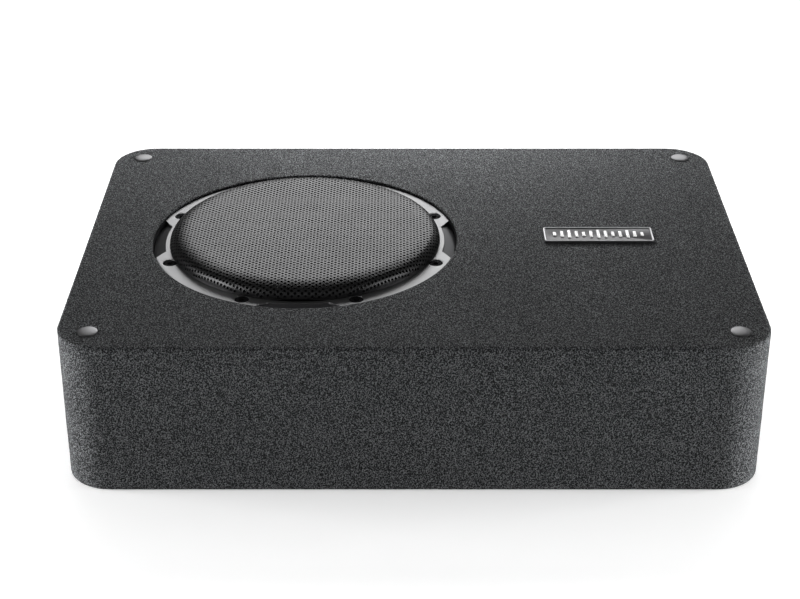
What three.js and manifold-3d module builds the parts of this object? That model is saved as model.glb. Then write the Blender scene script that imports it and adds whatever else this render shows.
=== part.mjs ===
// Powered car subwoofer: a flat fabric-covered box with an eight-inch woofer under a perforated
// grille in its top, and an amplifier behind a recessed panel in its back wall.
// Millimetres, +Z up. The origin is the centre of the underside; -Y is the front, +Y the back.
import * as THREE from "three";
import { mergeVertices } from "three/addons/utils/BufferGeometryUtils.js";
import Module from "manifold-3d";

// Clearance between pieces that touch.
const GAP = 0.3;

// The box, over its fabric.
const BOX_W = 445;
const BOX_D = 313;
const BOX_H = 104;
const BOX_CORNER_R = 29;
const FABRIC_T = 2;
const BOARD_T = 12;
const BAFFLE_T = 15;

// Boards lie inside the fabric.
const SKIN = FABRIC_T + GAP;
const BOARD_W = BOX_W - 2 * SKIN;
const BOARD_D = BOX_D - 2 * SKIN;
const BOARD_CORNER_R = BOX_CORNER_R - SKIN;
const BAFFLE_TOP = BOX_H - SKIN;
const BAFFLE_BOTTOM = BAFFLE_TOP - BAFFLE_T;
const WALL_BOTTOM = SKIN + BOARD_T + GAP;
const WALL_TOP = BAFFLE_BOTTOM - GAP;
const WALL_MID = (WALL_BOTTOM + WALL_TOP) / 2;

// Damping pad on the bottom board.
const PAD_W = 170;
const PAD_D = 150;
const PAD_T = 24;
const PAD_CORNER_R = 12;
const PAD_AT = { x: 115, y: -20 };

// Caps at the corners of the top.
const CAP_INSET = 20.1;
const CAP_R = 6.4;
const CAP_EDGE_T = 0.45;
const CAP_DOME = 0.5;
const CAP_STEM_R = 2.8;
const CAP_STEM_LENGTH = 12;

// Badge beside the woofer.
const BADGE_X = 127.4;
const BADGE_W = 75;
const BADGE_D = 22;
const BADGE_T = 1.9;
const BADGE_FLOOR_T = 0.7;
const BADGE_RIM = 1.2;
const BADGE_CORNER_R = 2;
const BADGE_BAR_HEIGHTS = [5, 9, 13, 9, 6, 10, 14, 10, 6, 9, 13, 9, 5];
const BADGE_BAR_W = 2.4;
const BADGE_BAR_PITCH = 5;

// Woofer: its axis, and its flange in the baffle board.
const WOOFER_X = -73.8;
const FLANGE_TOP = BOX_H - 1.7;
const FLANGE_T = 4.5;
const FLANGE_R = 103.7;
const FLANGE_INNER_R = 88;
const REBATE_R = 104.2;
const GASKET_T = 1.5;
const REBATE_FLOOR = FLANGE_TOP - FLANGE_T - GASKET_T - 2 * GAP;
const THROAT_R = 91.2;
const SURROUND_LEDGE = 96;
const CONE_EDGE_R = 68.5;
const CONE_EDGE_Z = 94.3;
const CONE_NECK_Z = 76;
const CONE_T = 1.2;
const DUST_CAP_R = 34;
const DUST_CAP_Z = 83.3;
const DUST_CAP_RISE = 8;
const VOICE_COIL_R = 26;
const SPIDER_Z = 65.1;
const SPIDER_WAVE_Z = [67, 64.2];
const SPIDER_T = 0.7;
const SURROUND_T = 0.8;

// The basket's bowl: the top and the foot of its sloping arms, and its floor on the motor.
const ARM_TOP = { inner: 81.5, outer: 86, z: 84 };
const ARM_FOOT = { inner: 64, outer: 66, z: 62 };
const ARM_WINDOW = { inner: 60, outer: 100, half: 26, bottom: 67, top: 85 };
const BOWL_FLOOR_Z = 59;
const BOWL_HOLE_R = 36;
const SPIDER_LEDGE = { inner: 60.5, z: 64.5 };

// Four notches in the flange, with floors that slope down and outwards.
const NOTCH_INNER_R = 95.6;
const NOTCH_INNER_HALF = THREE.MathUtils.degToRad(11.7);
const NOTCH_OUTER_HALF = THREE.MathUtils.degToRad(16.7);
const NOTCH_EDGE_DEPTH = 0.6;
const NOTCH_RIM_DEPTH = 3.7;

// Eight screws through the flange.
const SCREW_COUNT = 8;
const SCREW_CIRCLE_R = 96.3;
const SCREW_HEAD_R = 4.2;
const SCREW_HEAD_T = 2.3;
const SCREW_SHAFT_R = 2;
const SCREW_TIP = 89;
const SCREW_RECESS_R = 4.7;
const SCREW_SUNK = 0.4;

// Motor.
const MAGNET_R = 60;
const PLATE_R = 55;
const POLE_R = 24.6;
const POLE_VENT_R = 8;
const MOTOR_BOTTOM = 22;
const MAGNET_BOTTOM = 29.9;
const TOP_PLATE_BOTTOM = 48;
const TOP_PLATE_TOP = 56;

// The strip on the basket's right arm, and what it joins.
const STRIP_X = 84.4;
const LEAD_Z = 74;
const LEAD_R = 0.8;
const CABLE_R = 2.6;

// Grille over the woofer.
const GRILLE_R = 92.5;
const GRILLE_BASE = FLANGE_TOP + GAP;
const GRILLE_TOP = BOX_H + 7.2;
const GRILLE_T = 1.2;

// Amplifier panel, sunk into the back wall.
const AMP_X = 108;
const PANEL_W = 160;
const PANEL_H = 68;
const PANEL_T = 1.8;
const PANEL_CORNER_R = 5;
const PANEL_FACE = BOX_D / 2 - GAP;
const WELL_W = 148;
const WELL_H = 54;
const WELL_CORNER_R = 6;
const WELL_DEPTH = 18;
const WELL_WALL = 2;
const WELL_FLOOR = PANEL_FACE - WELL_DEPTH;
const WELL_BACK = WELL_FLOOR - WELL_WALL;
const PANEL_SCREW_X = 76;
const PANEL_SCREW_Z = 30.2;
const PANEL_SCREW_R = 2.6;
const PANEL_SCREW_SHAFT_R = 1.3;
const KNOBS = { level_knob: 12, lowpass_knob: -14, boost_knob: -40 };
const KNOB_Z = 11;
const KNOB_R = 6;
const KNOB_SHAFT_R = 3;
const SWITCH_AT = { x: -40, z: -12 };
const SWITCH_TRAVEL = 3;
const LIGHT_AT = { x: -60, z: 11 };
const LIGHT_R = 2.2;
const TERMINAL_AT = { x: 46, z: -9 };
const TERMINAL_PITCH = 13;
const FUSE_AT = { x: 46, z: 15 };
const INPUT_AT = { x: -2, z: -12 };
const INPUT_PITCH = 16;
const BOARD_FACE = 123.6;
const COVER_FRONT = 88;
const GROMMET_Y = 110;

const ROUND = 36;
const HIDDEN_ROUND = 24;
const SMALL_ROUND = 12;
const UP = new THREE.Vector3(0, 0, 1);

const wasm = await Module();
wasm.setup();
const part = new THREE.Group();

const finishes = {
  fabric: { color: 0x2c2d2f, roughness: 0.95, metalness: 0 },
  board: { color: 0x9a7a55, roughness: 0.8, metalness: 0 },
  satinMetal: { color: 0xa9aaac, roughness: 0.35, metalness: 1 },
  brightMetal: { color: 0xd8d9db, roughness: 0.12, metalness: 1 },
  greyCasting: { color: 0x9fa0a3, roughness: 0.4, metalness: 0.8 },
  blackSteel: { color: 0x2a2b2d, roughness: 0.4, metalness: 0.6 },
  plainSteel: { color: 0xb5b7ba, roughness: 0.4, metalness: 1 },
  ferrite: { color: 0x2b2a2a, roughness: 0.6, metalness: 0.1 },
  rubber: { color: 0x1a1a1b, roughness: 0.7, metalness: 0 },
  foam: { color: 0x242425, roughness: 1, metalness: 0 },
  paper: { color: 0x39393b, roughness: 0.8, metalness: 0 },
  cloth: { color: 0xb48a3c, roughness: 0.9, metalness: 0 },
  copper: { color: 0xb4673a, roughness: 0.35, metalness: 1 },
  blackPlastic: { color: 0x161617, roughness: 0.5, metalness: 0 },
  circuit: { color: 0x1c5233, roughness: 0.5, metalness: 0 },
  sleeve: { color: 0x22304f, roughness: 0.4, metalness: 0 },
  fusePlastic: { color: 0xc98a12, roughness: 0.3, metalness: 0 },
  light: { color: 0x2f6fd0, roughness: 0.2, metalness: 0 },
  wadding: { color: 0xd6d6d0, roughness: 1, metalness: 0 },
};

// A closed geometry as a solid that can be joined and cut.
function solid(geometry) {
  const bare = geometry.clone();
  bare.deleteAttribute("normal");
  bare.deleteAttribute("uv");
  const merged = mergeVertices(bare);
  return new wasm.Manifold(
    new wasm.Mesh({
      numProp: 3,
      vertProperties: merged.attributes.position.array,
      triVerts: merged.index.array,
    }),
  );
}

function geometryOf(shape) {
  const mesh = shape.getMesh();
  const geometry = new THREE.BufferGeometry();
  geometry.setAttribute("position", new THREE.BufferAttribute(mesh.vertProperties, 3));
  geometry.setIndex(new THREE.BufferAttribute(mesh.triVerts, 1));
  geometry.computeVertexNormals();
  return geometry;
}

// The first geometry, joined with and cut by the others.
function combine(base, { add = [], cut = [] }) {
  let shape = solid(base);
  for (const geometry of add) {
    shape = shape.add(solid(geometry));
  }
  for (const geometry of cut) {
    shape = shape.subtract(solid(geometry));
  }
  return geometryOf(shape);
}

function addPiece(name, geometry, finish, place = [0, 0, 0]) {
  const mesh = new THREE.Mesh(geometry, new THREE.MeshStandardMaterial(finishes[finish]));
  mesh.name = name;
  mesh.position.set(...place);
  part.add(mesh);
  return mesh;
}

// A rounded rectangle centred on the origin, as an outline or as a hole.
function roundedRectangle(width, depth, radius, PathType = THREE.Shape) {
  const x = width / 2 - radius;
  const y = depth / 2 - radius;
  const path = new PathType();
  path.absarc(x, y, radius, 0, Math.PI / 2);
  path.absarc(-x, y, radius, Math.PI / 2, Math.PI);
  path.absarc(-x, -y, radius, Math.PI, Math.PI * 1.5);
  path.absarc(x, -y, radius, Math.PI * 1.5, Math.PI * 2);
  path.closePath();
  return path;
}

// A flat plate with this outline between two heights.
function slab(shape, bottom, top, curveSegments = 4) {
  const options = { depth: top - bottom, bevelEnabled: false, curveSegments };
  return new THREE.ExtrudeGeometry(shape, options).translate(0, 0, bottom);
}

// A plate that stands in the back wall: its outline is in X and Z, between two places along Y.
function uprightSlab(shape, front, back, curveSegments = 2) {
  return slab(shape, -back, -front, curveSegments).rotateX(Math.PI / 2);
}

function block([x0, x1], [y0, y1], [z0, z1]) {
  return new THREE.BoxGeometry(x1 - x0, y1 - y0, z1 - z0).translate(
    (x0 + x1) / 2,
    (y0 + y1) / 2,
    (z0 + z1) / 2,
  );
}

// A solid of revolution about Z from [radius, height] points. A profile that leaves the axis
// free closes on itself.
function turned(profile, segments = ROUND) {
  const points = profile.map(([radius, height]) => new THREE.Vector2(radius, height));
  if (THREE.ShapeUtils.area(points) < 0) {
    points.reverse();
  }
  const onAxis = points[0].x === 0 && points.at(-1).x === 0;
  if (!onAxis) {
    points.push(points[0].clone());
  }
  return new THREE.LatheGeometry(points, segments).rotateX(Math.PI / 2);
}

function disc(radius, bottom, top, segments = SMALL_ROUND) {
  const profile = [[0, bottom], [radius, bottom], [radius, top], [0, top]];
  return turned(profile, segments);
}

function ring(inner, outer, bottom, top, segments = ROUND) {
  const profile = [[inner, bottom], [outer, bottom], [outer, top], [inner, top]];
  return turned(profile, segments);
}

// A disc whose axis lies along Y.
function sideDisc(radius, front, back, x, z, segments = SMALL_ROUND) {
  return disc(radius, -back, -front, segments).rotateX(Math.PI / 2).translate(x, 0, z);
}

// Points along a quarter or half round in a profile.
function arc([centreR, centreZ], radius, from, to, steps) {
  return Array.from({ length: steps + 1 }, (_, i) => {
    const angle = THREE.MathUtils.degToRad(from + ((to - from) * i) / steps);
    return [centreR + radius * Math.cos(angle), centreZ + radius * Math.sin(angle)];
  });
}

// A sheet of even height above a line of [radius, height] points.
function thickened(line, thickness) {
  const top = line.map(([radius, height]) => [radius, height + thickness]);
  return [...line, ...top.reverse()];
}

// A round lead of eight sides along a curve through these points.
function rod(points, radius, steps) {
  const path = new THREE.CatmullRomCurve3(points.map((p) => new THREE.Vector3(...p)));
  const section = new THREE.Shape().absarc(0, 0, radius, 0, Math.PI * 2);
  return new THREE.ExtrudeGeometry(section, { steps, curveSegments: 4, extrudePath: path });
}

// Places evenly spaced round the woofer's axis, as [x, y, angle].
function aroundWoofer(count, radius, firstAngle) {
  return Array.from({ length: count }, (_, i) => {
    const angle = firstAngle + (i * 2 * Math.PI) / count;
    return [WOOFER_X + radius * Math.cos(angle), radius * Math.sin(angle), angle];
  });
}

const screwPlaces = aroundWoofer(SCREW_COUNT, SCREW_CIRCLE_R, Math.PI / SCREW_COUNT);
const capPlaces = {
  front_left: [-1, -1],
  front_right: [1, -1],
  back_left: [-1, 1],
  back_right: [1, 1],
};
const capX = BOX_W / 2 - CAP_INSET;
const capY = BOX_D / 2 - CAP_INSET;

function makeFabric() {
  const outline = (Type) => roundedRectangle(BOX_W, BOX_D, BOX_CORNER_R, Type);
  addPiece("bottom_fabric", slab(outline(THREE.Shape), 0, FABRIC_T), "fabric");

  const side = outline(THREE.Shape);
  const innerR = BOX_CORNER_R - FABRIC_T;
  side.holes.push(
    roundedRectangle(BOX_W - 2 * FABRIC_T, BOX_D - 2 * FABRIC_T, innerR, THREE.Path),
  );
  const panelHole = block(
    [AMP_X - PANEL_W / 2 - GAP, AMP_X + PANEL_W / 2 + GAP],
    [BOX_D / 2 - 2 * SKIN, BOX_D / 2 + 1],
    [WALL_MID - PANEL_H / 2 - GAP, WALL_MID + PANEL_H / 2 + GAP],
  );
  const sleeve = slab(side, SKIN, BAFFLE_TOP);
  addPiece("side_fabric", combine(sleeve, { cut: [panelHole] }), "fabric");

  const top = slab(outline(THREE.Shape), BOX_H - FABRIC_T, BOX_H);
  const holes = Object.values(capPlaces).map(([sideX, sideY]) =>
    disc(CAP_STEM_R + GAP, BAFFLE_TOP, BOX_H + 1).translate(sideX * capX, sideY * capY, 0),
  );
  holes.push(disc(REBATE_R, BAFFLE_TOP, BOX_H + 1, ROUND).translate(WOOFER_X, 0, 0));
  addPiece("top_fabric", combine(top, { cut: holes }), "fabric");
}

// A front or back board that turns both corners of the box with a solid block at each end.
function endWall(side) {
  const halfW = BOARD_W / 2;
  const halfD = BOARD_D / 2;
  const blockDepth = BOARD_CORNER_R + 2;
  const shape = new THREE.Shape();
  shape.moveTo(-halfW, halfD - blockDepth);
  const roundX = halfW - BOARD_CORNER_R;
  const roundY = halfD - BOARD_CORNER_R;
  shape.absarc(-roundX, roundY, BOARD_CORNER_R, Math.PI, Math.PI / 2, true);
  shape.absarc(roundX, roundY, BOARD_CORNER_R, Math.PI / 2, 0, true);
  shape.lineTo(halfW, halfD - blockDepth);
  shape.lineTo(halfW - blockDepth, halfD - blockDepth);
  shape.lineTo(halfW - blockDepth, halfD - BOARD_T);
  shape.lineTo(-halfW + blockDepth, halfD - BOARD_T);
  shape.lineTo(-halfW + blockDepth, halfD - blockDepth);
  shape.closePath();
  const wall = slab(shape, WALL_BOTTOM, WALL_TOP);
  return side > 0 ? wall : wall.rotateZ(Math.PI);
}

function makeBoards() {
  const outline = roundedRectangle(BOARD_W, BOARD_D, BOARD_CORNER_R);
  addPiece("bottom_board", slab(outline, SKIN, SKIN + BOARD_T), "board");

  const throat = disc(THROAT_R, BAFFLE_BOTTOM - 1, BAFFLE_TOP + 1, ROUND);
  const rebate = disc(REBATE_R, REBATE_FLOOR, BAFFLE_TOP + 1, ROUND);
  const cuts = [throat, rebate].map((hole) => hole.translate(WOOFER_X, 0, 0));
  for (const [x, y] of screwPlaces) {
    cuts.push(disc(SCREW_SHAFT_R + GAP, BAFFLE_BOTTOM - 1, BAFFLE_TOP, 8).translate(x, y, 0));
  }
  const stemFloor = BOX_H - CAP_STEM_LENGTH - GAP;
  for (const [sideX, sideY] of Object.values(capPlaces)) {
    const hole = disc(CAP_STEM_R + GAP, stemFloor, BAFFLE_TOP + 1);
    cuts.push(hole.translate(sideX * capX, sideY * capY, 0));
  }
  const baffle = slab(outline, BAFFLE_BOTTOM, BAFFLE_TOP);
  addPiece("baffle_board", combine(baffle, { cut: cuts }), "board");

  addPiece("front_wall", endWall(-1), "board");
  const wallBack = BOARD_D / 2 + 1;
  const wellShape = roundedRectangle(WELL_W, WELL_H, WELL_CORNER_R);
  const wellHole = uprightSlab(wellShape, wallBack - 3 * BOARD_T, wallBack);
  const backCuts = [wellHole.translate(AMP_X, 0, WALL_MID)];
  for (const [x, z] of panelScrewPlaces()) {
    backCuts.push(sideDisc(PANEL_SCREW_SHAFT_R + GAP, BOARD_D / 2 - 10, wallBack, x, z, 8));
  }
  addPiece("back_wall", combine(endWall(1), { cut: backCuts }), "board");

  const sideHalf = BOARD_D / 2 - BOARD_CORNER_R - 2 - GAP;
  for (const [name, inner, outer] of [
    ["left_wall", -BOARD_W / 2, -BOARD_W / 2 + BOARD_T],
    ["right_wall", BOARD_W / 2 - BOARD_T, BOARD_W / 2],
  ]) {
    const wall = block([inner, outer], [-sideHalf, sideHalf], [WALL_BOTTOM, WALL_TOP]);
    addPiece(name, wall, "board");
  }
  const pad = slab(roundedRectangle(PAD_W, PAD_D, PAD_CORNER_R), WALL_BOTTOM, WALL_BOTTOM + PAD_T);
  addPiece("damping_pad", pad, "wadding", [PAD_AT.x, PAD_AT.y, 0]);
}

function makeCaps() {
  const seat = BOX_H + GAP;
  const domeR = (CAP_R ** 2 + CAP_DOME ** 2) / (2 * CAP_DOME);
  const rim = seat + CAP_EDGE_T;
  const halfAngle = THREE.MathUtils.radToDeg(Math.asin(CAP_R / domeR));
  const dome = arc([0, rim + CAP_DOME - domeR], domeR, 90 - halfAngle, 90, 2);
  const profile = [
    [0, BOX_H - CAP_STEM_LENGTH],
    [CAP_STEM_R, BOX_H - CAP_STEM_LENGTH],
    [CAP_STEM_R, seat],
    [CAP_R, seat],
    ...dome.slice(0, -1),
    [0, rim + CAP_DOME],
  ];
  for (const [name, [sideX, sideY]] of Object.entries(capPlaces)) {
    const place = [sideX * capX, sideY * capY, 0];
    addPiece("corner_cap_" + name, turned(profile, SMALL_ROUND), "satinMetal", place);
  }
}

function makeBadge() {
  const bottom = BOX_H + GAP;
  const floor = bottom + BADGE_FLOOR_T;
  const outline = roundedRectangle(BADGE_W, BADGE_D, BADGE_CORNER_R);
  const wellW = BADGE_W - 2 * BADGE_RIM;
  const wellD = BADGE_D - 2 * BADGE_RIM;
  const wellR = BADGE_CORNER_R - BADGE_RIM / 2;
  const well = slab(roundedRectangle(wellW, wellD, wellR), floor, bottom + 2 * BADGE_T, 2);
  const frame = combine(slab(outline, bottom, bottom + BADGE_T, 2), { cut: [well] });
  addPiece("badge_frame", frame, "brightMetal", [BADGE_X, 0, 0]);

  const plateTop = floor + GAP + 0.4;
  const field = roundedRectangle(wellW - 2 * GAP, wellD - 2 * GAP, wellR - GAP);
  const middle = (BADGE_BAR_HEIGHTS.length - 1) / 2;
  const bars = BADGE_BAR_HEIGHTS.map((length, i) => {
    const x = (i - middle) * BADGE_BAR_PITCH;
    const sides = [x - BADGE_BAR_W / 2, x + BADGE_BAR_W / 2];
    return block(sides, [-length / 2, length / 2], [plateTop - 0.2, plateTop + 0.5]);
  });
  const plate = combine(slab(field, floor + GAP, plateTop, 2), { add: bars });
  addPiece("badge_plate", plate, "satinMetal", [BADGE_X, 0, 0]);
}

// One notch's cutter: a sector whose floor slopes down from the flange's inner band to its rim.
function notchCutter(angle) {
  const reach = REBATE_R + 4;
  const flare = (reach - NOTCH_INNER_R) / (FLANGE_R - NOTCH_INNER_R);
  const outerHalf = NOTCH_INNER_HALF + (NOTCH_OUTER_HALF - NOTCH_INNER_HALF) * flare;
  const shape = new THREE.Shape();
  shape.absarc(0, 0, NOTCH_INNER_R, -NOTCH_INNER_HALF, NOTCH_INNER_HALF);
  shape.absarc(0, 0, reach, outerHalf, -outerHalf, true);
  shape.closePath();
  const sector = slab(shape, FLANGE_TOP - FLANGE_T - 1, FLANGE_TOP + 1, 3);
  const drop = (NOTCH_RIM_DEPTH - NOTCH_EDGE_DEPTH) * flare + NOTCH_EDGE_DEPTH;
  const below = turned([
    [0, FLANGE_TOP - FLANGE_T - 2],
    [reach + 1, FLANGE_TOP - FLANGE_T - 2],
    [reach + 1, FLANGE_TOP - drop],
    [reach, FLANGE_TOP - drop],
    [NOTCH_INNER_R, FLANGE_TOP - NOTCH_EDGE_DEPTH],
    [0, FLANGE_TOP - NOTCH_EDGE_DEPTH],
  ]);
  return combine(sector, { cut: [below] }).rotateZ(angle);
}

function makeBasket() {
  const profile = [
    [FLANGE_INNER_R, FLANGE_TOP],
    [FLANGE_R, FLANGE_TOP],
    [FLANGE_R, FLANGE_TOP - FLANGE_T],
    [THROAT_R - 2 * GAP, FLANGE_TOP - FLANGE_T],
    [ARM_TOP.outer, ARM_TOP.z],
    [ARM_FOOT.outer, ARM_FOOT.z],
    [PLATE_R, TOP_PLATE_TOP + GAP],
    [BOWL_HOLE_R, TOP_PLATE_TOP + GAP],
    [BOWL_HOLE_R, BOWL_FLOOR_Z],
    [SPIDER_LEDGE.inner - 4, BOWL_FLOOR_Z],
    [SPIDER_LEDGE.inner, SPIDER_LEDGE.z],
    [ARM_FOOT.inner, SPIDER_LEDGE.z],
    [ARM_TOP.inner, ARM_TOP.z + 2],
    [ARM_TOP.inner + 1.5, SURROUND_LEDGE],
    [FLANGE_INNER_R, SURROUND_LEDGE],
  ];
  const cuts = [];
  const { inner, outer, half, bottom, top } = ARM_WINDOW;
  for (let i = 0; i < 6; i += 1) {
    const window = block([inner, outer], [-half, half], [bottom, top]);
    cuts.push(window.rotateZ(Math.PI / 6 + (i * Math.PI) / 3));
  }
  for (let i = 0; i < 4; i += 1) {
    cuts.push(notchCutter((i * Math.PI) / 2));
  }
  for (const [x, y] of screwPlaces) {
    const recess = FLANGE_TOP - SCREW_SUNK - SCREW_HEAD_T - GAP;
    cuts.push(disc(SCREW_RECESS_R, recess, FLANGE_TOP + 1).translate(x - WOOFER_X, y, 0));
    cuts.push(disc(SCREW_SHAFT_R + GAP, 90, FLANGE_TOP, 8).translate(x - WOOFER_X, y, 0));
  }
  const basket = combine(turned(profile), { cut: cuts });
  addPiece("woofer_basket", basket, "greyCasting", [WOOFER_X, 0, 0]);

  const gasketTop = FLANGE_TOP - FLANGE_T - GAP;
  const holes = screwPlaces.map(([x, y]) =>
    disc(SCREW_SHAFT_R + GAP, gasketTop - 5, gasketTop + 5, 8).translate(x - WOOFER_X, y, 0),
  );
  const gasket = ring(THROAT_R, FLANGE_R - 0.2, gasketTop - GASKET_T, gasketTop);
  addPiece("woofer_gasket", combine(gasket, { cut: holes }), "foam", [WOOFER_X, 0, 0]);
}

function makeMotor() {
  const at = [WOOFER_X, 0, 0];
  const innerR = VOICE_COIL_R + 2.3;
  const topPlate = ring(innerR, PLATE_R, TOP_PLATE_BOTTOM, TOP_PLATE_TOP, HIDDEN_ROUND);
  addPiece("top_plate", topPlate, "plainSteel", at);
  const magnetTop = TOP_PLATE_BOTTOM - GAP;
  const magnet = ring(innerR + 5, MAGNET_R, MAGNET_BOTTOM, magnetTop, HIDDEN_ROUND);
  addPiece("magnet", magnet, "ferrite", at);
  const backPlate = [
    [POLE_VENT_R, MOTOR_BOTTOM],
    [PLATE_R, MOTOR_BOTTOM],
    [PLATE_R, MAGNET_BOTTOM - GAP],
    [POLE_R, MAGNET_BOTTOM - GAP],
    [POLE_R, TOP_PLATE_TOP],
    [POLE_VENT_R, TOP_PLATE_TOP],
  ];
  addPiece("back_plate", turned(backPlate, HIDDEN_ROUND), "plainSteel", at);
}

// The line of the cone's underside, from its neck to its flat edge.
function coneLine() {
  const curve = new THREE.QuadraticBezierCurve(
    new THREE.Vector2(VOICE_COIL_R + GAP, CONE_NECK_Z),
    new THREE.Vector2(42, CONE_NECK_Z + 12),
    new THREE.Vector2(CONE_EDGE_R - 4, CONE_EDGE_Z),
  );
  return curve.getPoints(4).map((p) => [p.x, p.y]);
}

function makeMovingParts() {
  const at = [WOOFER_X, 0, 0];
  const former = ring(VOICE_COIL_R - 0.5, VOICE_COIL_R, 40, 80, HIDDEN_ROUND);
  addPiece("coil_former", former, "satinMetal", at);
  const winding = ring(VOICE_COIL_R + GAP, VOICE_COIL_R + 1.4, 44, 60, HIDDEN_ROUND);
  addPiece("coil_winding", winding, "copper", at);

  const edge = [CONE_EDGE_R, CONE_EDGE_Z];
  const cone = turned(thickened([...coneLine(), edge], CONE_T), HIDDEN_ROUND);
  addPiece("cone", cone, "paper", at);

  const capR = (DUST_CAP_R ** 2 + DUST_CAP_RISE ** 2) / (2 * DUST_CAP_RISE);
  const crown = DUST_CAP_Z + DUST_CAP_RISE;
  const sweep = THREE.MathUtils.radToDeg(Math.asin(DUST_CAP_R / capR));
  const outer = arc([0, crown - capR], capR, 90 - sweep, 90, 3);
  outer[outer.length - 1] = [0, crown];
  const inner = outer.map(([radius, height]) => [radius, height - 1]).reverse();
  inner[inner.length - 1] = [DUST_CAP_R - 2.6, DUST_CAP_Z];
  addPiece("dust_cap", turned([...inner, ...outer], HIDDEN_ROUND), "paper", at);

  const waves = Array.from({ length: 4 }, (_, i) => [33 + i * 7, SPIDER_WAVE_Z[i % 2]]);
  const spiderLine = [
    [VOICE_COIL_R + GAP, SPIDER_Z],
    ...waves,
    [SPIDER_LEDGE.inner + 0.2, SPIDER_Z],
    [SPIDER_LEDGE.inner + 2.5, SPIDER_Z],
  ];
  addPiece("spider", turned(thickened(spiderLine, SPIDER_T), HIDDEN_ROUND), "cloth", at);

  // The half roll hangs between a flat rim on the cone's edge and one on the basket's ledge.
  const coneSeat = CONE_EDGE_Z + CONE_T + GAP;
  const ledgeSeat = SURROUND_LEDGE + GAP;
  const roll = arc([CONE_EDGE_R + 7.1, SURROUND_LEDGE + 0.4], 6.4, 180, 360, 5);
  const line = [
    [CONE_EDGE_R - 4, coneSeat],
    [CONE_EDGE_R + 0.5, coneSeat],
    ...roll.slice(1, -1),
    [CONE_EDGE_R + 13.9, ledgeSeat],
    [FLANGE_INNER_R - 0.4, ledgeSeat],
  ];
  addPiece("surround", turned(thickened(line, SURROUND_T), HIDDEN_ROUND), "rubber", at);
}

// The strip on the basket's right arm that joins the speaker cable to the two leads.
function makeTerminalStrip() {
  const plate = block([STRIP_X - 2, STRIP_X], [-21, 21], [LEAD_Z - 4, LEAD_Z + 4]);
  const foot = block([70, STRIP_X - 1], [-9, 9], [LEAD_Z - 1, LEAD_Z + 3]);
  const armSide = turned([
    [0, ARM_FOOT.z],
    [ARM_FOOT.outer + 3 * GAP, ARM_FOOT.z],
    [ARM_TOP.outer + 3 * GAP, ARM_TOP.z],
    [0, ARM_TOP.z],
  ]);
  const strip = combine(plate, { add: [geometryOf(solid(foot).subtract(solid(armSide)))] });
  addPiece("terminal_strip", strip, "blackPlastic", [WOOFER_X, 0, 0]);

  for (const [name, side] of [["tinsel_lead_front", -1], ["tinsel_lead_back", 1]]) {
    const lead = rod(
      [
        [STRIP_X - 2.4, side * 17, LEAD_Z],
        [72, side * 16.6, 73],
        [58, side * 14, 71],
        [46, side * 9, 75],
        [38.5, side * 7, 82.2],
      ],
      LEAD_R,
      8,
    );
    addPiece(name, lead, "copper", [WOOFER_X, 0, 0]);
  }
  // The cable leaves the strip straight, sags, and rises again into the amplifier's cover.
  const route = [
    [WOOFER_X + STRIP_X + 1.2, 0, LEAD_Z],
    [18.5, 0.8, LEAD_Z],
    [27.5, 6, 71.5],
    [33.5, 18.5, 64.5],
    [33.5, 38, 54],
    [27.5, 60, 46],
    [22.5, 78, 44],
    [22.5, 93, 46.5],
    [29, 104.5, 49.5],
    [39, 109.7, WALL_MID],
    [52, GROMMET_Y, WALL_MID],
  ];
  addPiece("speaker_cable", rod(route, CABLE_R, 18), "rubber");
}

function makeGrille() {
  const at = [WOOFER_X, 0, 0];
  const rollR = GRILLE_TOP - GRILLE_BASE;
  const rollCentre = [GRILLE_R - rollR, GRILLE_BASE];
  const outer = arc(rollCentre, rollR, 0, 90, 5);
  const inner = arc(rollCentre, rollR - GRILLE_T, 90, 0, 5);
  const cup = turned([[0, GRILLE_TOP - GRILLE_T], ...inner, ...outer, [0, GRILLE_TOP]]);
  addPiece("grille", cup, "blackSteel", at);
  const ringR = GRILLE_R - GRILLE_T - 1.1;
  const innerRing = ring(FLANGE_INNER_R + GAP, ringR, GRILLE_BASE, GRILLE_BASE + 2.4);
  addPiece("grille_ring", innerRing, "blackPlastic", at);
}

function makeWooferScrews() {
  const top = FLANGE_TOP - SCREW_SUNK;
  const under = top - SCREW_HEAD_T;
  const profile = [
    [0, SCREW_TIP],
    [SCREW_SHAFT_R, SCREW_TIP],
    [SCREW_SHAFT_R, under],
    [SCREW_HEAD_R, under],
    [SCREW_HEAD_R, top],
    [0, top],
  ];
  const socket = disc(1.8, top - 1.5, top + 1, 6);
  const screw = combine(turned(profile, SMALL_ROUND), { cut: [socket] });
  screwPlaces.forEach(([x, y, angle], i) => {
    const mesh = addPiece("woofer_screw_" + (i + 1), screw, "blackSteel", [x, y, 0]);
    mesh.rotateOnAxis(UP, angle);
  });
}

function panelScrewPlaces() {
  return [[-1, -1], [1, -1], [-1, 1], [1, 1]].map(([sideX, sideZ]) => [
    AMP_X + sideX * PANEL_SCREW_X,
    WALL_MID + sideZ * PANEL_SCREW_Z,
  ]);
}

// A countersunk screw along Y, grown by a clearance where it is the cutter for its own hole.
function countersunk(tip, top, clearance = 0) {
  const rim = PANEL_FACE - 0.4;
  const shaftR = PANEL_SCREW_SHAFT_R + clearance;
  const headR = PANEL_SCREW_R + clearance;
  const cone = rim - PANEL_SCREW_R + PANEL_SCREW_SHAFT_R;
  const profile = [[0, tip], [shaftR, tip], [shaftR, cone], [headR, rim], [headR, top], [0, top]];
  return turned(profile, SMALL_ROUND).rotateX(-Math.PI / 2);
}

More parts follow.
